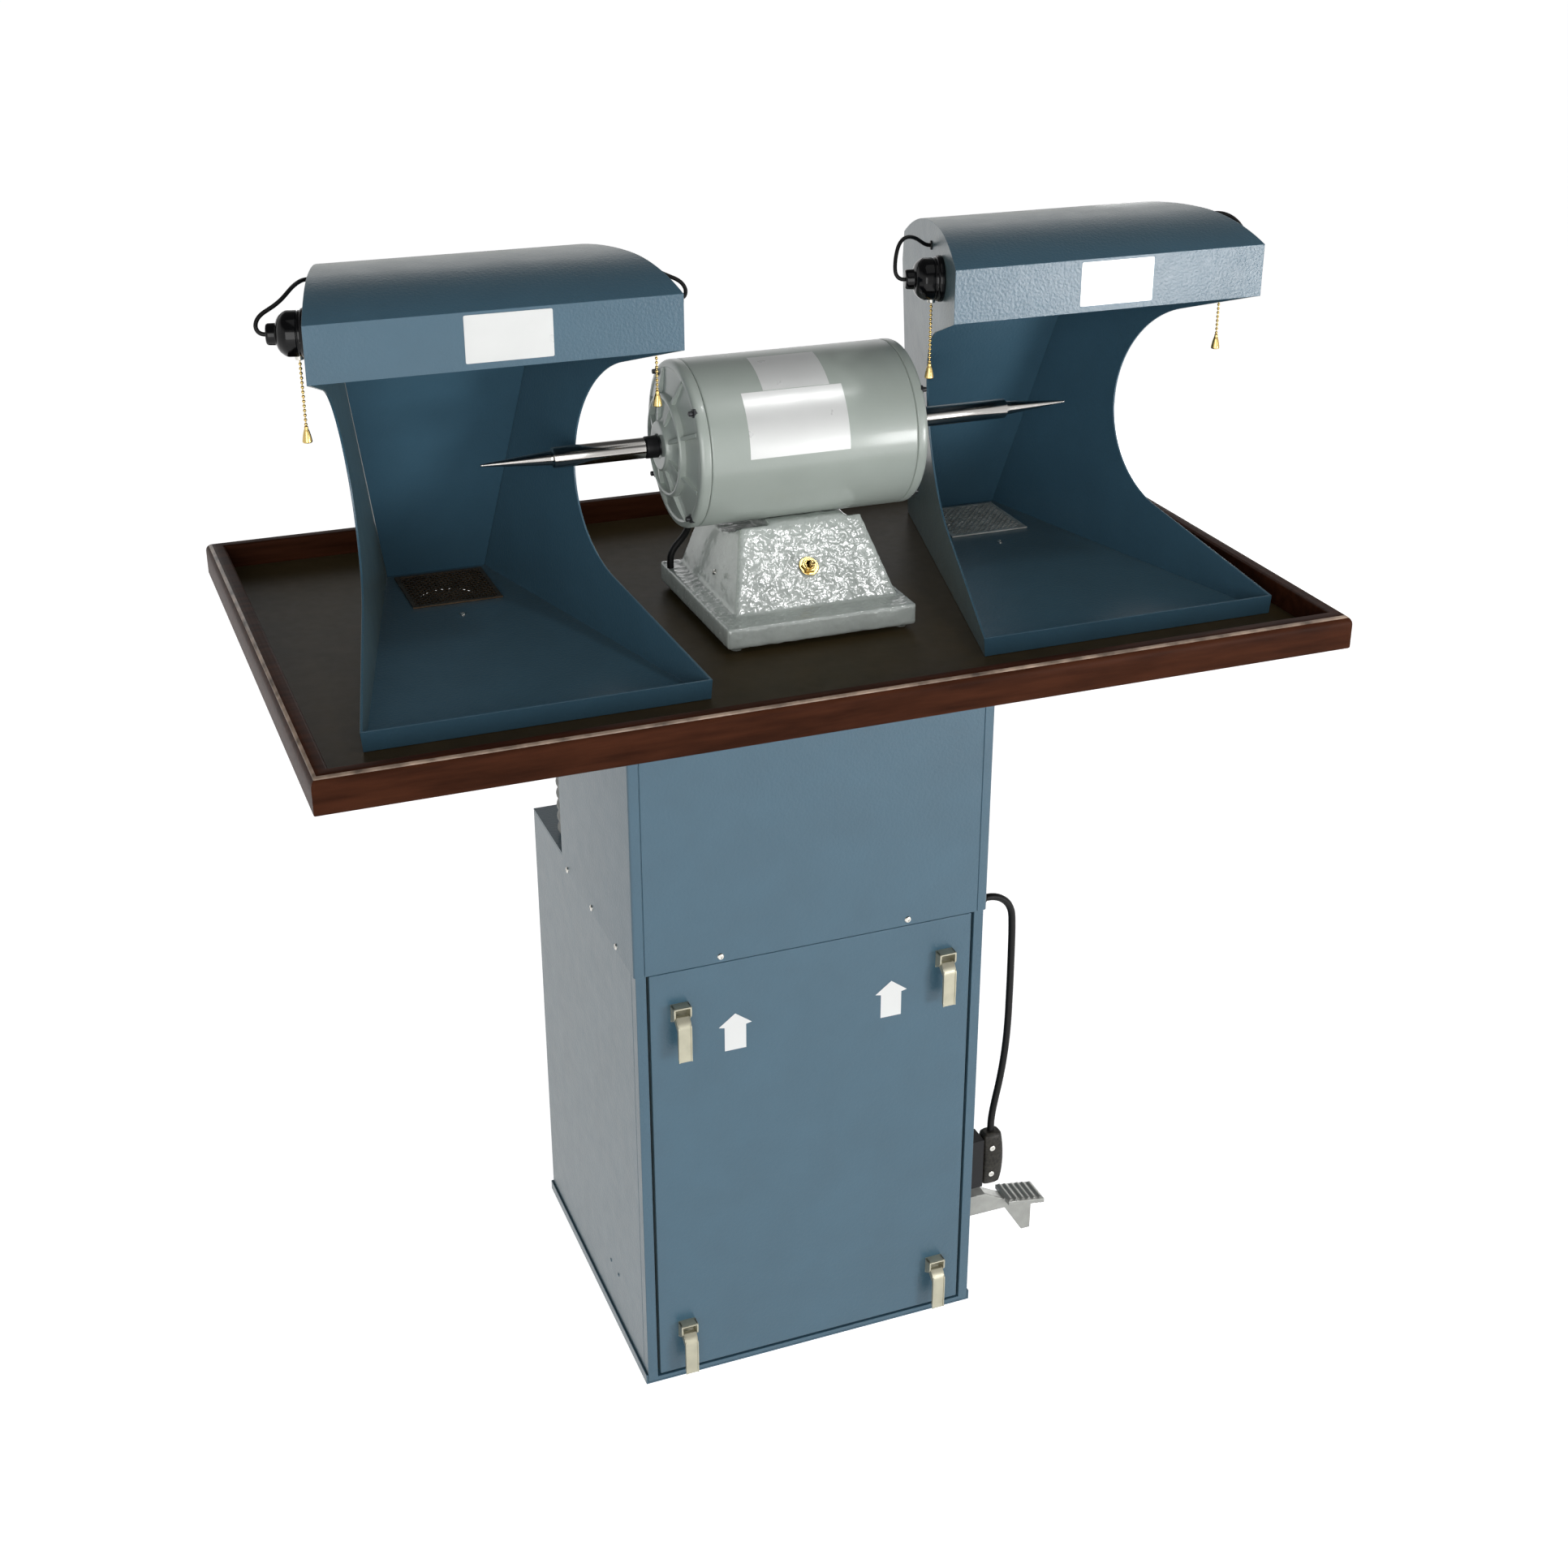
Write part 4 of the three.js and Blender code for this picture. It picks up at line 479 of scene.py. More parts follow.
# Gland: a tapered, ribbed strain relief in the cabinet wall
gland = Shape()
gland_profile = [(0, -7.7), (5.7, -7.7), (5.7, 0.5), (8.9, 0.5), (8.9, 2.6)]
for i in range(6):
    start = 4.2 + i * 2.9
    radius = 7.6 - i * 0.42
    groove = radius - 1.0
    gland_profile += [(groove, start - 0.9), (groove, start), (radius, start + 0.3), (radius, start + 1.7)]
gland_profile += [(4.6, 21.6), (0, 21.6)]
gland.lathe(rounded(gland_profile, 0.3, 2), (1, 0, 0), (HALF, CORD_Y, 503), 40)
made("gland_ribbed", gland, [rubber], "machine", ["cord_gland"])

# Cabinet, column panel, board, outlet and the hidden works keep their CAD forms, with softened edges
for node, material, body, slot, bevel in (
    ("base_pan", blue, "machine", "blue_paint", 0.6),
    ("cabinet_shell", blue, "machine", "blue_paint", 0.8),
    ("cabinet_top_plate", blue, "machine", "blue_paint", 0.8),
    ("door_frame", blue, "machine", "blue_paint", 0.7),
    ("column_rear_panel", blue, "machine", "blue_paint", 0.5),
    ("tray_board", laminate, "machine", "tray_floor", 0.3),
    ("stator", windings, "machine", "windings", 0.5),
    ("left_bearing", steel, "machine", "polished_steel", 0.4),
    ("right_bearing", steel, "machine", "polished_steel", 0.4),
    ("blower_housing", grey, "machine", "grey_paint", 0.6),
    ("blower_motor", dark_steel, "machine", "dark_steel", 1.0),
    ("impeller", aluminium, "fan", "cast_aluminium", 0.3),
    ("bag_rack", zinc, "rack", "zinc", 0.4),
    ("pedal_bracket", zinc, "machine", "zinc", 0.4),
    ("outlet", black_satin, "machine", "black_rubber", 1.2),
):
    dressed(node, material, body, bevel)

# Two small rivet heads low on the left wall
rivets = Shape()
for y in (-58, -86):
    rivets.lathe([(0, -0.5), (2.4, -0.5), (2.4, 0.1), (1.6, 0.8), (0, 1.0)], (-1, 0, 0), (-HALF, y, 72), 20)
made("wall_rivets", rivets, [blue], "machine")


# Door: a shallow pan with four cream latch housings and two plain arrows
def door_piece():
    x0, x1, z0, z1, depth, t = -178, 178, 10, 512, 11.7, 2
    outer = [(x0, z0), (x1, z0), (x1, z1), (x0, z1)]
    inner = [(x0 + t, z0 + t), (x1 - t, z0 + t), (x1 - t, z1 - t), (x0 + t, z1 - t)]
    rings = ((outer, 0), (outer, depth), (inner, depth), (inner, t))
    points = [(a, FRONT + back, b) for ring, back in rings for a, b in ring]
    made("door_pan", Shape().loft(points, 4), [blue], "door", ["door"], 1.3, 3)


door_piece()
LATCHES = {
    "upper_left": (-147, 461), "upper_right": (147, 461), "lower_left": (-147, 61), "lower_right": (147, 61),
}
housings = Shape()
lid = FRONT - 12
for x, z in LATCHES.values():
    cheek = [(FRONT, z - 4), (FRONT - 5, z - 4), (lid, z + 3), (lid, z + 14), (FRONT, z + 14)]
    cheek = rounded(cheek, 2.2, 4, True)
    for side in (-1, 1):
        housings.prism(cheek, "x", *sorted((x + side * 9.5, x + side * 7.7)))
    roof = rounded([(FRONT, z + 12.2), (lid, z + 12.2), (lid, z + 14), (FRONT, z + 14)], 0.5, 2, True)
    housings.prism(roof, "x", x - 9.5, x + 9.5)
    housings.box(x - 9.5, x + 9.5, FRONT - 0.9, FRONT + 0.2, z - 6, z + 14)
made("latch_housings", housings, [zinc], "door", [], 0.35)


# Latch lever: a curved channel on a pin
def latch_lever(name, x, z):
    hub = FRONT - 6
    front = rounded([(hub - 4.6, z + 3.5), (hub - 8.6, z - 1), (hub - 11.3, z - 6), (hub - 11.4, z - 30),
                     (hub - 10.9, z - 40), (hub - 11.5, z - 46)], 6, 5)
    back = [(y + 1.3, b - 0.4) for y, b in front]
    shape = Shape().prism([*front, *reversed(back)], "x", x - 7.1, x + 7.1)
    flange = [*front, (hub - 8.0, z - 43), (hub - 7.4, z - 10), (hub + 1.5, z - 3.2), (hub + 2.6, z + 1.5),
              (hub - 1, z + 3.9)]
    flange = [(a - 0.9 if b < z - 4 else a, b) for a, b in flange]
    for side in (-1, 1):
        shape.prism(flange, "x", *sorted((x + side * 7.3, x + side * 6.0)))
    shape.lathe([(0, -7.1), (2.4, -7.1), (2.4, 7.1), (0, 7.1)], (1, 0, 0), (x, hub, z), 24)
    made("lever_" + name, shape, [zinc], name + "_latch", ["latch_lever_" + name], 0.35)


for name, (x, z) in LATCHES.items():
    latch_lever(name, x, z)

arrows = Shape()
for middle in (-87.2, 87.2):
    arrow = [(0, 449), (-18, 435.4), (-11.7, 434), (-11.7, 406), (11.7, 406), (11.7, 434), (18, 435.4)]
    arrows.prism([(middle + a, b) for a, b in arrow], "y", FRONT - 0.12, FRONT + 0.2)
made("door_arrows", arrows, [white_paint], "door")


# Column: one sheet folded round the front and sides, with a joint near each front edge and its screws
def column_piece():
    x, y0, y1, t = 194.3, -191.3, 64, 2
    groove = [(-183.6, y0), (-183.4, y0 + 1.0), (-182.6, y0 + 1.0), (-182.4, y0)]
    mirrored = [(-a, b) for a, b in reversed(groove)]
    outer = [(-x, y1), *rounded([(-x, y1), (-x, y0), (-184.5, y0)], 3.2, 5)[1:-1], *groove, *mirrored,
             *rounded([(184.5, y0), (x, y0), (x, y1)], 3.2, 5)[1:-1], (x, y1)]
    inner = [(x - t, y1), *rounded([(x - t, y1), (x - t, y0 + t), (0, y0 + t)], 1.5, 3)[1:-1],
             *rounded([(0, y0 + t), (-x + t, y0 + t), (-x + t, y1)], 1.5, 3)[1:-1], (-x + t, y1)]
    shape = Shape().prism([*outer, *inner], "z", 514, 820.7)
    made("column_sheet", shape, [blue], "machine", ["column_shell"], 0.4)
    screws = Shape()
    for sx in (-103, 103):
        screws.screw((sx, y0, 521), (0, -1, 0), 3.6, 2.0)
    for side in (-1, 1):
        for sy in (43, -47, -133):
            screws.screw((side * x, sy, 520), (side, 0, 0), 3.4, 1.8)
    made("column_screws", screws, [nickel], "machine")


column_piece()


# Tray rim: one rounded profile carried round the board, mitred at the corners, with a pale painted highlight
# along its rounded top edge
def rim_piece():
    x0, x1, y0, y1 = -508, 508, -338, 278
    profile = [(1.2, 821), (0, 822.4), (0, 843), *arc(9.5, 846.4, 9.5, math.pi, math.pi / 2, 8),
               *arc(15.2, 853.1, 2.8, math.pi / 2, 0, 4), (18, 821)]
    points = []
    for u, z in profile:
        points += [(x0 + u, y0 + u, z), (x1 - u, y0 + u, z), (x1 - u, y1 - u, z), (x0 + u, y1 - u, z)]
    shape = Shape().loft(points, 4, closed=True)
    # The faces of these two rings, on the crest of the rounded top edge, carry the painted highlight
    highlight_rings = (7, 8)
    shape.marks = [1 if face[0] // 4 in highlight_rings else 0 for face in shape.faces]
    made("tray_moulding", shape, [mahogany, painted_highlight_strip], "machine", ["tray_rim"], angle=50)


rim_piece()

# A hood's places from front to rear and its heights over its base. The sides flare out towards the front
# and the top, and stand upright above the fold at the fascia's foot
HOOD_FRONT, FASCIA, HOOD_REAR = -249, -171, 169
LIP, FOLD, FASCIA_TOP = 19, 306, 357
CREST = (-85, 378.5)
ROOF_REAR = (97, 336.5)
THROAT = (-107, 170, 109)
LAMP = (-109, 335)
HALF_FRONT, HALF_REAR, HALF_GAIN = 160, 53.5, 27
FLARE = (HALF_FRONT - HALF_REAR) / (HOOD_FRONT - HOOD_REAR)
UPRIGHT_NORMAL = Vector((1, -FLARE, 0)).normalized()
HOLE_FRONT, HOLE_REAR, HOLE_HALF = 70, 154, 42
BAFFLE_LEAN = 112
PLATES = {"left": (-31, 47.5), "right": (-34.5, 43.5)}


def half_width(y, z):
    return HALF_REAR + FLARE * (y - HOOD_REAR) + HALF_GAIN * min(z, FOLD) / FOLD


def arch_radius(run, drop):
    return (run * run + drop * drop) / (2 * drop)


def roof_line():
    y, z = CREST
    front_drop, rear_drop = z - FASCIA_TOP, z - ROOF_REAR[1]
    front, rear = arch_radius(y - FASCIA, front_drop), arch_radius(ROOF_REAR[0] - y, rear_drop)
    return [*arc(y, z - rear, rear, math.asin(1 - rear_drop / rear), math.pi / 2, 16),
            *arc(y, z - front, front, math.pi / 2, math.pi - math.asin(1 - front_drop / front), 12)[1:]]


def throat_line():
    y0, z0, radius = THROAT

    def touch(point, side):
        away = math.hypot(point[0] - y0, point[1] - z0)
        return math.atan2(point[1] - z0, point[0] - y0) + side * math.acos(radius / away)

    return arc(y0, z0, radius, touch((FASCIA, FOLD), -1), touch((HOOD_FRONT, LIP), 1), 48)


def rear_edge(z):
    return HOOD_REAR - (HOOD_REAR - ROOF_REAR[0]) * z / ROOF_REAR[1]


# Folded sheets of a hood: floor with its hole, two sides, roof, fascia and the turned-down rear edge
def hood_piece(name, x):
    floor = [(HOOD_FRONT, 0), (HOLE_FRONT, 0), (HOLE_REAR, 0), (HOOD_REAR, 0)]
    roof = roof_line()
    fold, hem = (rear_edge(FOLD), FOLD), (rear_edge(324.5), 324.5)
    contour = [*floor, fold, hem, *roof, (FASCIA, FOLD), *throat_line(), (HOOD_FRONT, LIP)]
    count = len(contour)
    points = [(x + side * half_width(y, z), y, HOOD_BASE + z) for side in (-1, 1) for y, z in contour]
    # Places 0 to 3 of the contour are the floor, 4 and 5 the fold and the hem, and foot is the fascia's foot
    hole = len(points)
    points += [(x + side * HOLE_HALF, y, HOOD_BASE) for y in (HOLE_FRONT, HOLE_REAR) for side in (-1, 1)]
    foot = 6 + len(roof)
    upper = list(range(4, foot + 1))
    lower = [0, 1, 2, 3, 4, *range(foot, count)]
    faces = [upper, lower, [count + i for i in reversed(upper)], [count + i for i in reversed(lower)]]
    for i in [*range(5, foot), count - 1]:
        j = (i + 1) % count
        faces.append([i, j, count + j, count + i])
    faces += [[0, 1, hole, hole + 1, count + 1, count], [1, 2, hole + 2, hole],
              [hole + 1, hole + 3, count + 2, count + 1], [2, 3, count + 3, count + 2, hole + 3, hole + 2]]
    shape = Shape().add(points, faces)
    made(name + "_hood_sheet", shape, [blue], "machine", [name + "_hood"], 0.55, angle=25,
         shell=2.0)
    points = []
    for z in (2.1, FOLD, 348.4):
        y = HOOD_REAR - BAFFLE_LEAN * z / CREST[1]
        reach = half_width(y, z) - 2.15
        points += [(x - reach, y - 2.1, HOOD_BASE + z), (x + reach, y - 2.1, HOOD_BASE + z),
                   (x + reach, y, HOOD_BASE + z), (x - reach, y, HOOD_BASE + z)]
    made(name + "_hood_baffle", Shape().loft(points, 4), [blue], "machine")
    low, high = x + PLATES[name][0], x + PLATES[name][1]
    outline = rounded([(low, 1143.5), (high, 1143.5), (high, 1185.5), (low, 1185.5)], 1.6, 3, True)
    plate = Shape().prism(outline, "y", FASCIA - 0.35, FASCIA + 0.1)
    made(name + "_hood_plate", plate, [plate_white], "machine")
    screws = Shape().screw((x - 3, 35, HOOD_BASE + 2), (0, 0, 1), 3.4, 1.6)
    made(name + "_hood_screw", screws, [nickel], "machine")


# Expanded metal screen over the hole in the hood's floor, in a folded frame
def screen_piece(name, x):
    x0, x1, y0, y1 = x - 46, x + 46, 66, 158
    z0, z1 = HOOD_BASE + 2.3, HOOD_BASE + 3.8
    edge = 4
    shape = Shape()
    for y in (y0, y1 - edge):
        shape.box(x0, x1, y, y + edge, z0, z1)
    for side in (x0, x1 - edge):
        shape.box(side, side + edge, y0 + edge, y1 - edge, z0, z1)
    step, rise, strand = 7.0, 3.9, 0.7
    columns, rows = 12, 10
    for j in range(rows):
        for phase in (0, 1):
            base = y0 + edge + (j + 0.5) * (y1 - y0 - 2 * edge) / rows
            track = [Vector((x0 + edge + i * step, base + (rise if (i + phase) % 2 else -rise)))
                     for i in range(columns + 1)]
            for a, b in zip(track, track[1:]):
                aside = (b - a).orthogonal().normalized() * strand
                shape.prism([a - aside, b - aside, b + aside, a + aside], "z", z0 + 0.1, z1 - 0.1)
    strand_look = wire_mesh if name == "left" else pale_mesh
    made(name + "_screen_mesh", shape, [strand_look], "machine", [name + "_hood_screen"])


# Lamp leads on each hood: out from the side sheet, to the rear along it, and up along it
LEAD_ROUTES = {
    "left": [
        (36.4, 0, 0), (37.6, 0, 0), (40.1, 0.2, 0.5), (42.4, 0.6, 1.9), (44, 1.3, 4.2), (44.5, 2.2, 7.2),
        (43.6, 3.6, 10.6), (41.4, 5.4, 13.8), (37.8, 7.8, 16.6), (33.2, 10.6, 19), (28.2, 14.4, 21.6),
        (23.6, 19.8, 24.4), (19.6, 27, 27.4), (16.2, 36, 29.9), (13, 46, 31.4), (9.8, 54.6, 32.1),
        (8.4, 57.9, 32.2), (7.2, 60.2, 32.2), (5.2, 62.7, 32.1), (2.9, 64, 32), (0.3, 64.5, 32),
    ],
    "right": [
        (36.4, 0, 0), (37.6, 0, 0), (40.1, 0.2, 0.5), (42.4, 0.6, 1.9), (44.1, 1.2, 4.1), (45, 2, 7),
        (45.2, 3.4, 11), (44.6, 5.8, 16.5), (43.2, 9.4, 22), (41, 14.2, 27), (37.6, 20, 31),
        (33.2, 26, 33.2), (28, 32, 33.4), (22.8, 38, 31.8), (17.8, 44, 29), (13.2, 49.6, 25.6),
        (9.6, 53.4, 22.8), (6.8, 55.9, 21), (4.3, 57.3, 20), (2.2, 57.9, 19.6), (0.3, 58, 19.5),
    ],
}


def lamp_pieces(name, x, end, side):
    place = Vector((x + side * half_width(*LAMP), LAMP[0], HOOD_BASE + LAMP[1]))
    out = Vector((side * UPRIGHT_NORMAL.x, UPRIGHT_NORMAL.y, 0))
    tag = f"{name}_hood_{end}_"
    profile = [(0, -5.2), (13.4, -5.2), (13.4, -17.8), (15.2, -17.8), (15.9, -17.0), (15.9, 0.4), (21.2, 0.4),
               (21.9, 1.2), (21.9, 4.6), (21.0, 6.2), (19.9, 6.4), (19.9, 8.4), (19.3, 8.8), (19.3, 9.6),
               (19.9, 10.0), (19.9, 18.6), (18.6, 21.4), (16.0, 24.6), (13.2, 26.6), (10.8, 27.4),
               (9.6, 28.0), (9.4, 34.6), (8.4, 36.2), (0, 36.2)]
    socket = Shape().lathe(rounded(profile, 1.1, 3), out, place, 56)
    chain_top = place + out * 10
    spout = [(1.9, -22.6), (3.6, -22.6), (3.9, -21.6), (3.9, -15), (1.9, -15)]
    socket.lathe(spout, (0, 0, 1), chain_top, 24, 1, True)
    for turn in (0.6, 3.9):
        around = out.orthogonal().normalized()
        spot = Matrix.Rotation(turn, 3, out) @ around * 18.2 + place + out * 6.3
        socket.screw(spot, out, 1.8, 0.8, 1)
    made(tag + "socket", socket, [black_gloss, nickel], "machine", [tag + "lamp_socket"],
         angle=38)

    seat, globe = -5.5, 22.9
    globe_centre = seat - 78 + 23
    bulb_profile = [(0, globe_centre - globe)]
    round_end = arc(0, globe_centre, globe, -math.pi / 2, math.pi / 5, 20)[1:]
    bulb_profile += [(max(0.01, r), s) for r, s in round_end]
    bulb_profile += [(15.6, seat - 30), (13.6, seat - 23), (12.9, seat - 20)]
    bulb = Shape().lathe(bulb_profile, out, place, 48)
    thread = [(12.9, seat - 20)]
    for k in range(6):
        thread += [(12.9, seat - 18.6 + k * 2.6), (11.9, seat - 17.3 + k * 2.6)]
    thread += [(12.7, seat - 3), (6, seat - 0.6), (0, seat - 0.3)]
    bulb.lathe(rounded(thread, 0.5, 2), out, place, 40, 1)
    made(tag + "bulb", bulb, [glass, brass], "machine", [tag + "lamp_bulb"], angle=50)

    back = (Vector((0, 1, 0)) - out * out.y).normalized()
    up = out.cross(back) * side
    points = smooth_route([place + out * o + back * b + up * u for o, b, u in LEAD_ROUTES[name]], 6)
    line(tag + "lead", points, 1.9, rubber, "machine", [tag + "lamp_lead"], 5)
    spot = place + back * LEAD_ROUTES[name][-1][1] + up * LEAD_ROUTES[name][-1][2]
    eyelet = rounded([(2.1, 0.1), (4.6, 0.1), (4.4, 1.3), (2.1, 1.6)], 0.4, 3, True)
    grommet = Shape().lathe(eyelet, out, spot, 28, 0, True)
    made(tag + "grommet", grommet, [black_satin], "machine", angle=45)

    chain = Shape()
    balls, pitch, ball_radius = 18, 4.15, 1.55
    ball = [(max(0.001, r), s) for r, s in arc(0, 0, ball_radius, -math.pi / 2, math.pi / 2, 6)]
    ball[0], ball[-1] = (0, -ball_radius), (0, ball_radius)
    for k in range(balls):
        chain.lathe(ball, (0, 0, 1), chain_top + Vector((0, 0, -10 - k * pitch)), 12)
    chain.lathe([(0, -81), (0.55, -81), (0.55, -9.4), (0, -9.4)], (0, 0, 1), chain_top, 8)
    bell = [(0, -82), (1.5, -82), (1.9, -83), (1.7, -84.2), (2.6, -86.5), (3.5, -90), (4.3, -94.5),
            (4.45, -96.2), (3.9, -96.9), (2.4, -96.4), (0, -95.2)]
    chain.lathe(rounded(bell, 0.6, 2), (0, 0, 1), chain_top, 28)
    made(tag + "ball_chain", chain, [brass], f"{name}_hood_{end}_chain", [tag + "pull_chain"],
         angle=50)


for name, x in HOOD_XS.items():
    hood_piece(name, x)
    screen_piece(name, x)
    lamp_pieces(name, x, "left", -1)
    lamp_pieces(name, x, "right", 1)


# Motor shell with two bare plates on its front
def plate_on_shell(shape, x0, x1, from_top, to_top, mark):
    steps, outer, inner = 14, 83.15, 82.55
    points = []
    for k in range(steps + 1):
        angle = math.radians(from_top + (to_top - from_top) * k / steps)
        for x, r in ((x0, outer), (x1, outer), (x1, inner), (x0, inner)):
            points.append((x, MOTOR.y - r * math.sin(angle), MOTOR.z + r * math.cos(angle)))
    shape.loft(points, 4, mark)


def motor_shell_piece():
    edge = MOTOR_HALF - 1.2
    profile = [(79, -MOTOR_HALF), (82.2, -MOTOR_HALF), (82.9, -edge), (82.9, edge), (82.2, MOTOR_HALF),
               (79, MOTOR_HALF)]
    shape = Shape().lathe(rounded(profile, 0.4, 2, True), (1, 0, 0), MOTOR, 128, 0, True)
    plate_on_shell(shape, -9, 60, 7, 42, 1)
    plate_on_shell(shape, -32, 72, 42.5, 88, 1)
    made("motor_casing", shape, [grey, plate_white], "machine", ["motor_shell"], angle=40)


motor_shell_piece()


def end_bell_piece(name, side):
    axis = Vector((side, 0, 0))
    start = MOTOR + axis * MOTOR_HALF
    shape = Shape()
    profile = [(81.5, 0.3), (83, 1.2), (83, 8.4), (81.2, 11.6), (76.5, 12.2), (74.5, 11.0), (60, 14.2),
               (33, 20.4), (27.5, 22.0), (25, 24.6), (24.4, 27.4), (22.6, 28), (12.5, 28), (11.4, 26.6),
               (9.2, 26.0), (8.8, 24), (8.8, 16), (17.8, 16), (17.8, 0.3), (23.8, 0.3), (24.5, 11),
               (76.5, 4), (77, 0.3)]
    shape.lathe(rounded(profile, 1.8, 3, True), axis, start, 96, 0, True)
    ring_profile = [(46, 13), (46.4, 21.6), (47.4, 22.7), (50, 22.7), (51, 21.4), (51.4, 13)]
    shape.lathe(rounded(ring_profile, 0.8, 3, True), axis, start, 96, 0, True)
    for k in range(8):
        angle = (k + 0.5) * math.pi / 4
        up = Vector((0, math.sin(angle), math.cos(angle)))
        sideways = Vector((0, up.z, -up.y))
        points = []
        for radius, height, half in ((25, 25.2, 3.0), (45, 21.8, 2.6), (62, 17.4, 2.5), (75.5, 12.6, 2.5)):
            base = start + up * radius
            points += [base + sideways * half + axis * 9, base + sideways * half * 0.7 + axis * height,
                       base - sideways * half * 0.7 + axis * height, base - sideways * half + axis * 9]
        shape.loft(points, 4)
    bolts = Shape()
    for k in range(4):
        angle = math.radians(38 + 90 * k)
        place = start + Vector((0, math.sin(angle), math.cos(angle))) * 78
        bolts.lathe([(0, -1), (5.0, -1), (5.0, 3.6), (4.4, 4.2), (0, 4.2)], axis, place + axis * 8.5, 6)
        bolts.lathe([(0, 0), (2.5, 0), (2.5, 7.6), (2.0, 8.2), (0, 8.2)], axis, place + axis * 8.5, 20)
    made(name + "_bell_casting", shape, [grey], "machine", [name + "_end_bell"], 0.3, angle=35)
    made(name + "_bell_bolts", bolts, [dark_steel], "machine", [], 0.3)


end_bell_piece("left", -1)
end_bell_piece("right", 1)


# Rotor core with its shaft, a black collar at each side, and the two tapered spindles
def rotor_pieces():
    shape = Shape()
    shape.lathe(rounded([(0, -45), (49.2, -45), (49.2, 45), (0, 45)], 1, 2), (1, 0, 0), MOTOR, 72)
    shape.lathe([(0, -179), (7.4, -179), (8, -178), (8, 178), (7.4, 179), (0, 179)], (1, 0, 0), MOTOR, 40)
    for side in (-1, 1):
        collar = [(0, 135.8), (9.5, 135.8), (11, 136.6), (11, 148.4), (10, 149.5), (0, 149.5)]
        shape.lathe(rounded(collar, 0.5, 2), (side, 0, 0), MOTOR, 48, 1)
    made("rotor_core", shape, [dark_steel, black_satin], "rotor", ["rotor_shaft"], angle=40)
    thick_end, thin_end, first_turn, last_turn, turns = 7.5, 1.4, 94.2, 163, 30
    for name, side in (("left", -1), ("right", 1)):
        axis = Vector((side, 0, 0))
        start = MOTOR + axis * 149.8
        body = [(0, 30), (8.3, 30), (8.3, 0), (9.6, 0), (10.3, 0.8), (10.3, 91.6), (9.8, 92.5), (7.6, 93.6)]
        taper = []
        for k in range(turns):
            t = (k + 0.5) / turns
            radius = thick_end + (thin_end - thick_end) * t
            along = first_turn + (last_turn - first_turn) * t
            taper += [(radius, along - 0.55), (radius - 0.38, along + 0.35)]
        tip = [(1.5, 163.2), (0.9, 163.5), (0, 163.5)]
        spindle = Shape().lathe([*body, *taper, *tip], axis, start, 56)
        for along, turn in ((18, 0.4), (46, 2.1), (60, 0.4)):
            out = Matrix.Rotation(turn * side, 3, axis) @ Vector((0, -0.9, 0.44)).normalized()
            place = start + axis * along + out * 10.2
            spindle.lathe([(2.1, 0.12), (2.1, -0.5), (0, -0.5)], out, place, 20, 1)
        made(name + "_spindle_turned", spindle, [steel, black_satin], "rotor",
             [name + "_spindle"], angle=32)


rotor_pieces()
# The pedestal's left and right faces take the paler enamel, whose colour holds painted light
cast_copy("pedestal_casting", "motor_pedestal", [casting, smooth_cast_painted_light], "machine",
          1.8, 9, 0.6, 6.5)


# Toggle switch square to the pedestal's sloping face, a little below its middle
def switch_pieces():
    slope_foot, slope = Vector((27, -133, 857.3)), Vector((0, 71, 69))
    lean = Vector((0, -slope.z, slope.y)).normalized()
    place = slope_foot + slope * 0.46
    bush = [(0, -10.3), (5.4, -10.3), (5.4, 0.3), (10.2, 0.3), (10.4, 0.8), (9.8, 1.2), (5.6, 1.2),
            (5.6, 4.4), (5.0, 5.0), (4.1, 5.0), (3.6, 0.5), (3.5, -6.8), (0, -6.8)]
    shape = Shape().lathe(bush, lean, place, 48)
    shape.lathe([(5.6, 1.2), (8.2, 1.2), (8.2, 3.2), (7.6, 3.6), (5.6, 3.6)], lean, place, 6, 0, True)
    u = Vector((1, 0, 0))
    v = lean.cross(u)
    corners = ((-8, -12), (8, -12), (8, 12), (-8, 12))
    shape.loft([place + u * a + v * b + lean * c for c in (-31.3, -9.4) for a, b in corners], 4, 1)
    made("switch_bush", shape, [brass, black_satin], "machine", ["switch_body"], 0.3)
    ball = place - lean * 3.2
    tilt = Matrix.Rotation(math.pi / 18, 3, u) @ lean
    profile = [(0, -3.2), *arc(0, 0, 3.2, -math.pi / 2 + 0.3, math.pi / 4, 8), (2.0, 3.6), (2.3, 9),
               (2.9, 14.2), (3.0, 15.6), (2.4, 16.8), (0, 17)]
    lever = Shape().lathe(rounded(profile, 0.5, 2), tilt, ball, 32)
    made("toggle_bat", lever, [brass], "toggle", ["toggle_lever"], angle=45)


switch_pieces()

# Small screw on the pedestal's left face, and the lead behind it
side_screw = Shape().screw((-57.5, -60, 880), Vector((-0.9, 0, 0.42)), 3.0, 1.6)
made("pedestal_screw", side_screw, [nickel], "machine")

motor_lead_route = [
    (-56, 18, 913.4), (-56.2, 18.2, 908), (-57.5, 19.5, 901), (-60.5, 21.5, 893.5), (-65, 23.5, 886.5),
    (-70.5, 25, 879.5), (-74.5, 25.5, 871.5), (-75.5, 25.5, 863.5), (-75.5, 25.5, 857.6),
]
motor_lead = smooth_route(motor_lead_route, 8)
line("motor_flex", motor_lead, 3.5, rubber, "machine", ["motor_lead"], 6)


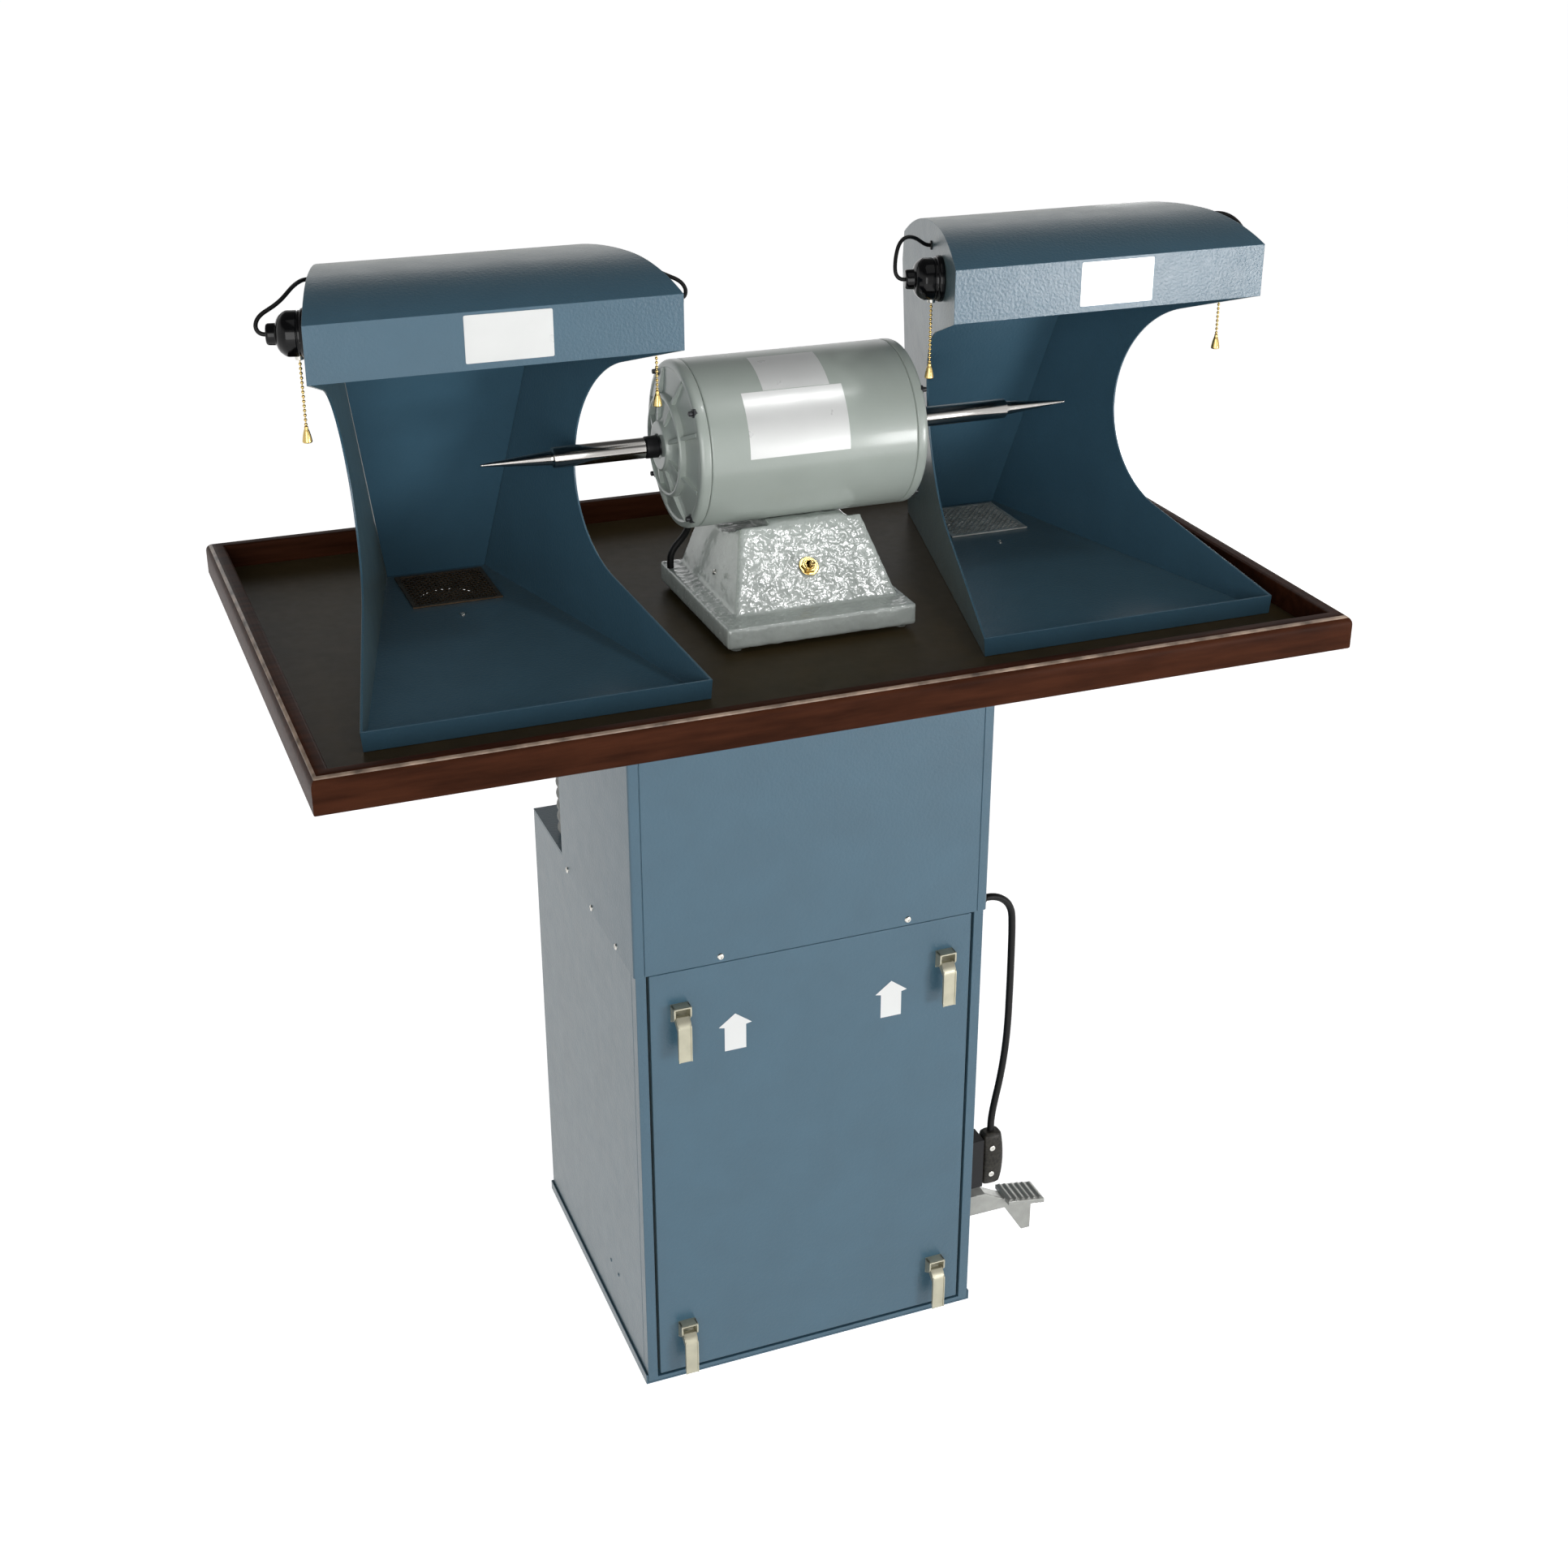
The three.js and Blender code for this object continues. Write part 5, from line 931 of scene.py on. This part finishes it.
# Ribbed hose in two equal bends between its straight ends
def hose_piece(name, from_x, to_x):
    top, bottom, straight, y = 820.7, 526.3, 66, 112
    bend_top, bend_bottom = top - straight, bottom + straight
    shift, fall = to_x - from_x, bend_top - bend_bottom
    sweep = 2 * math.atan(abs(shift) / fall)
    radius = fall / (2 * math.sin(sweep))
    bend = radius * sweep
    length = 2 * straight + 2 * bend
    side = math.copysign(1, shift)

    def place(share):
        along = share * length
        if along <= straight:
            return from_x, top - along, 0
        if along > straight + 2 * bend:
            return to_x, bottom + length - along, 0
        upper = along <= straight + bend
        angle = (along - straight if upper else straight + 2 * bend - along) / radius
        over, down = side * radius * (1 - math.cos(angle)), radius * math.sin(angle)
        if upper:
            return from_x + over, bend_top - down, side * angle
        return to_x - over, bend_bottom + down, side * angle

    sides, ribs, steps, inner_rings = 48, 26, 8, 40
    inner, outer, swelling = 29, 31, 3
    points = []

    def ring(share, size):
        x, z, lean = place(share)
        for k in range(sides):
            angle = 2 * math.pi * k / sides
            flat = size * math.cos(angle)
            points.append((x + flat * math.cos(lean), y + size * math.sin(angle), z + flat * math.sin(lean)))

    total = ribs * steps
    for i in range(total + 1):
        swell = 0.5 - 0.5 * math.cos(2 * math.pi * i / steps)
        ring(i / total, outer + swelling * swell ** 0.7)
    for i in range(inner_rings + 1):
        ring(1 - i / inner_rings, inner)
    shape = Shape().loft(points, sides, closed=True)
    made(name + "_hose_ribbed", shape, [hose_plastic], "machine", [name + "_hose"], angle=60)


hose_piece("left", HOOD_XS["left"], -150)
hose_piece("right", HOOD_XS["right"], 150)


# Filter bags: lofted cloth that hangs from the rack, billows a little and gathers at the foot
def bag_piece(name, x):
    y_middle, z_top, z_foot = -48, 465.8, 134.4
    widest_x, widest_y = 65.7, 78.7
    rows, ring = 60, 72
    points = []
    for i in range(rows + 1):
        t = i / rows
        z = z_top + (z_foot - z_top) * t
        full = 0.93 + 0.05 * math.sin(math.pi * t) - 0.10 * max(0, t - 0.75) ** 1.2 * 4
        half_x, half_y = 66 * full * (1 - 0.13 * t), 79 * full * (1 - 0.13 * t)
        if i == rows:
            half_x, half_y = half_x * 0.86, half_y * 0.86
        for k in range(ring):
            angle = 2 * math.pi * k / ring
            c, s = math.cos(angle), math.sin(angle)
            crease = 1 + 0.028 * t ** 0.5 * math.sin(7 * angle + 2.2 * math.sin(3 * t + x)) \
                + 0.016 * noise.noise(Vector((c * 2.1, s * 2.1, t * 5 + x)))
            over = half_x * crease * signed_power(c, 0.6)
            along = half_y * crease * signed_power(s, 0.6)
            hang = 2.0 * noise.noise(Vector((c * 3, s * 3, x))) if i == rows else 0
            points.append((x + min(max(over, -widest_x), widest_x),
                           y_middle + min(max(along, -widest_y), widest_y), z + hang))
    shape = Shape().loft(points, ring)
    made(name + "_bag_cloth", shape, [cloth], "rack", [name + "_filter_bag"], angle=60)


bag_piece("left", -84)
bag_piece("right", 84)

# Foot pedal, cast in one piece with its ribbed pad
cast_copy("pedal_casting", "pedal_lever", [aluminium], "pedal", 1.0, 3, 0.12, 6)


# Studio: white surroundings under a darker ceiling, plain soft light mostly from the front, a pale floor
def seen_directly(tree):
    rays = shader_node(tree, "LightPath", {})
    last = rays.outputs["Is Camera Ray"]
    for kind in ("Is Glossy Ray", "Is Transmission Ray"):
        either = shader_node(tree, "Math", {0: last, 1: rays.outputs[kind]})
        either.operation = "MAXIMUM"
        last = either.outputs[0]
    return last


def studio():
    world = bpy.data.worlds.new("studio")
    scene.world = world
    world.use_nodes = True
    tree = world.node_tree
    tree.nodes.clear()
    where = shader_node(tree, "TexCoord", {}).outputs["Generated"]
    height = shader_node(tree, "SeparateXYZ", {0: where}).outputs["Z"]
    white = (1, 1, 1, 1)
    skies = []
    for low, high, top in ((0.46, 0.04, 0.75), (1.0, 0.1, 0.62)):
        span = {"Value": height, "From Min": 0.25, "From Max": top, "To Min": low, "To Max": high}
        fade = shader_node(tree, "MapRange", span)
        fade.interpolation_type = "SMOOTHSTEP"
        sky = shader_node(tree, "Background", {"Color": white, "Strength": fade.outputs["Result"]})
        skies.append(sky.outputs[0])
    mix = shader_node(tree, "MixShader", {0: seen_directly(tree), 1: skies[0], 2: skies[1]})
    camera_ray = shader_node(tree, "LightPath", {}).outputs["Is Camera Ray"]
    backdrop = shader_node(tree, "Background", {"Color": white})
    behind = shader_node(tree, "MixShader", {0: camera_ray, 1: mix.outputs[0], 2: backdrop.outputs[0]})
    shader_node(tree, "OutputWorld", {"Surface": behind.outputs[0]})

    mesh = bpy.data.meshes.new("floor")
    reach, drop = 40, -0.0004
    corners = [(a * reach, b * reach, drop) for a, b in ((-1, -1), (1, -1), (1, 1), (-1, 1))]
    mesh.from_pydata(corners, [], [(0, 1, 2, 3)])
    pale = bpy.data.materials.new("pale_floor")
    pale.use_nodes = True
    tree = pale.node_tree
    shader = tree.nodes["Principled BSDF"]
    feed(tree, shader, {"Base Color": (0.82, 0.82, 0.82, 1), "Roughness": 0.8, "Specular IOR Level": 0.1})
    share = shader_node(tree, "Math", {0: seen_directly(tree), 1: 0.88})
    share.operation = "MULTIPLY"
    glow = shader_node(tree, "Emission", {"Strength": share.outputs[0]})
    both = shader_node(tree, "AddShader", {0: shader.outputs[0], 1: glow.outputs[0]})
    feed(tree, tree.nodes["Material Output"], {"Surface": both.outputs[0]})
    floor = new_object("floor", mesh, [pale])

    for name, place, aim, size, power in (
        ("key", (-1.5, -3.4, 1.3), (0, 0, 0.8), 2.2, 58),
        ("fill", (1.7, -3.1, 1.0), (0, 0, 0.7), 1.8, 6),
        ("low", (1.75, -2.55, 0.7), (0.31, -0.17, 1.16), 0.7, 31),
        ("top", (0.2, -1.2, 3.6), (0, 0, 0.8), 2.2, 9),
        ("spark", (1.05, -1.25, 3.4), (0, 0, 0.9), 0.25, 8),
        ("back", (2.5, 2.7, 0.55), (0, 0, 0.6), 1.1, 16),
    ):
        light = bpy.data.lights.new(name, "AREA")
        light.size = size
        light.energy = power
        lamp = bpy.data.objects.new(name, light)
        lamp.location = place
        lamp.rotation_euler = (Vector(aim) - Vector(place)).to_track_quat("-Z", "Y").to_euler()
        scene.collection.objects.link(lamp)


studio()
scene.view_settings.view_transform = "Standard"

bpy.context.view_layer.update()
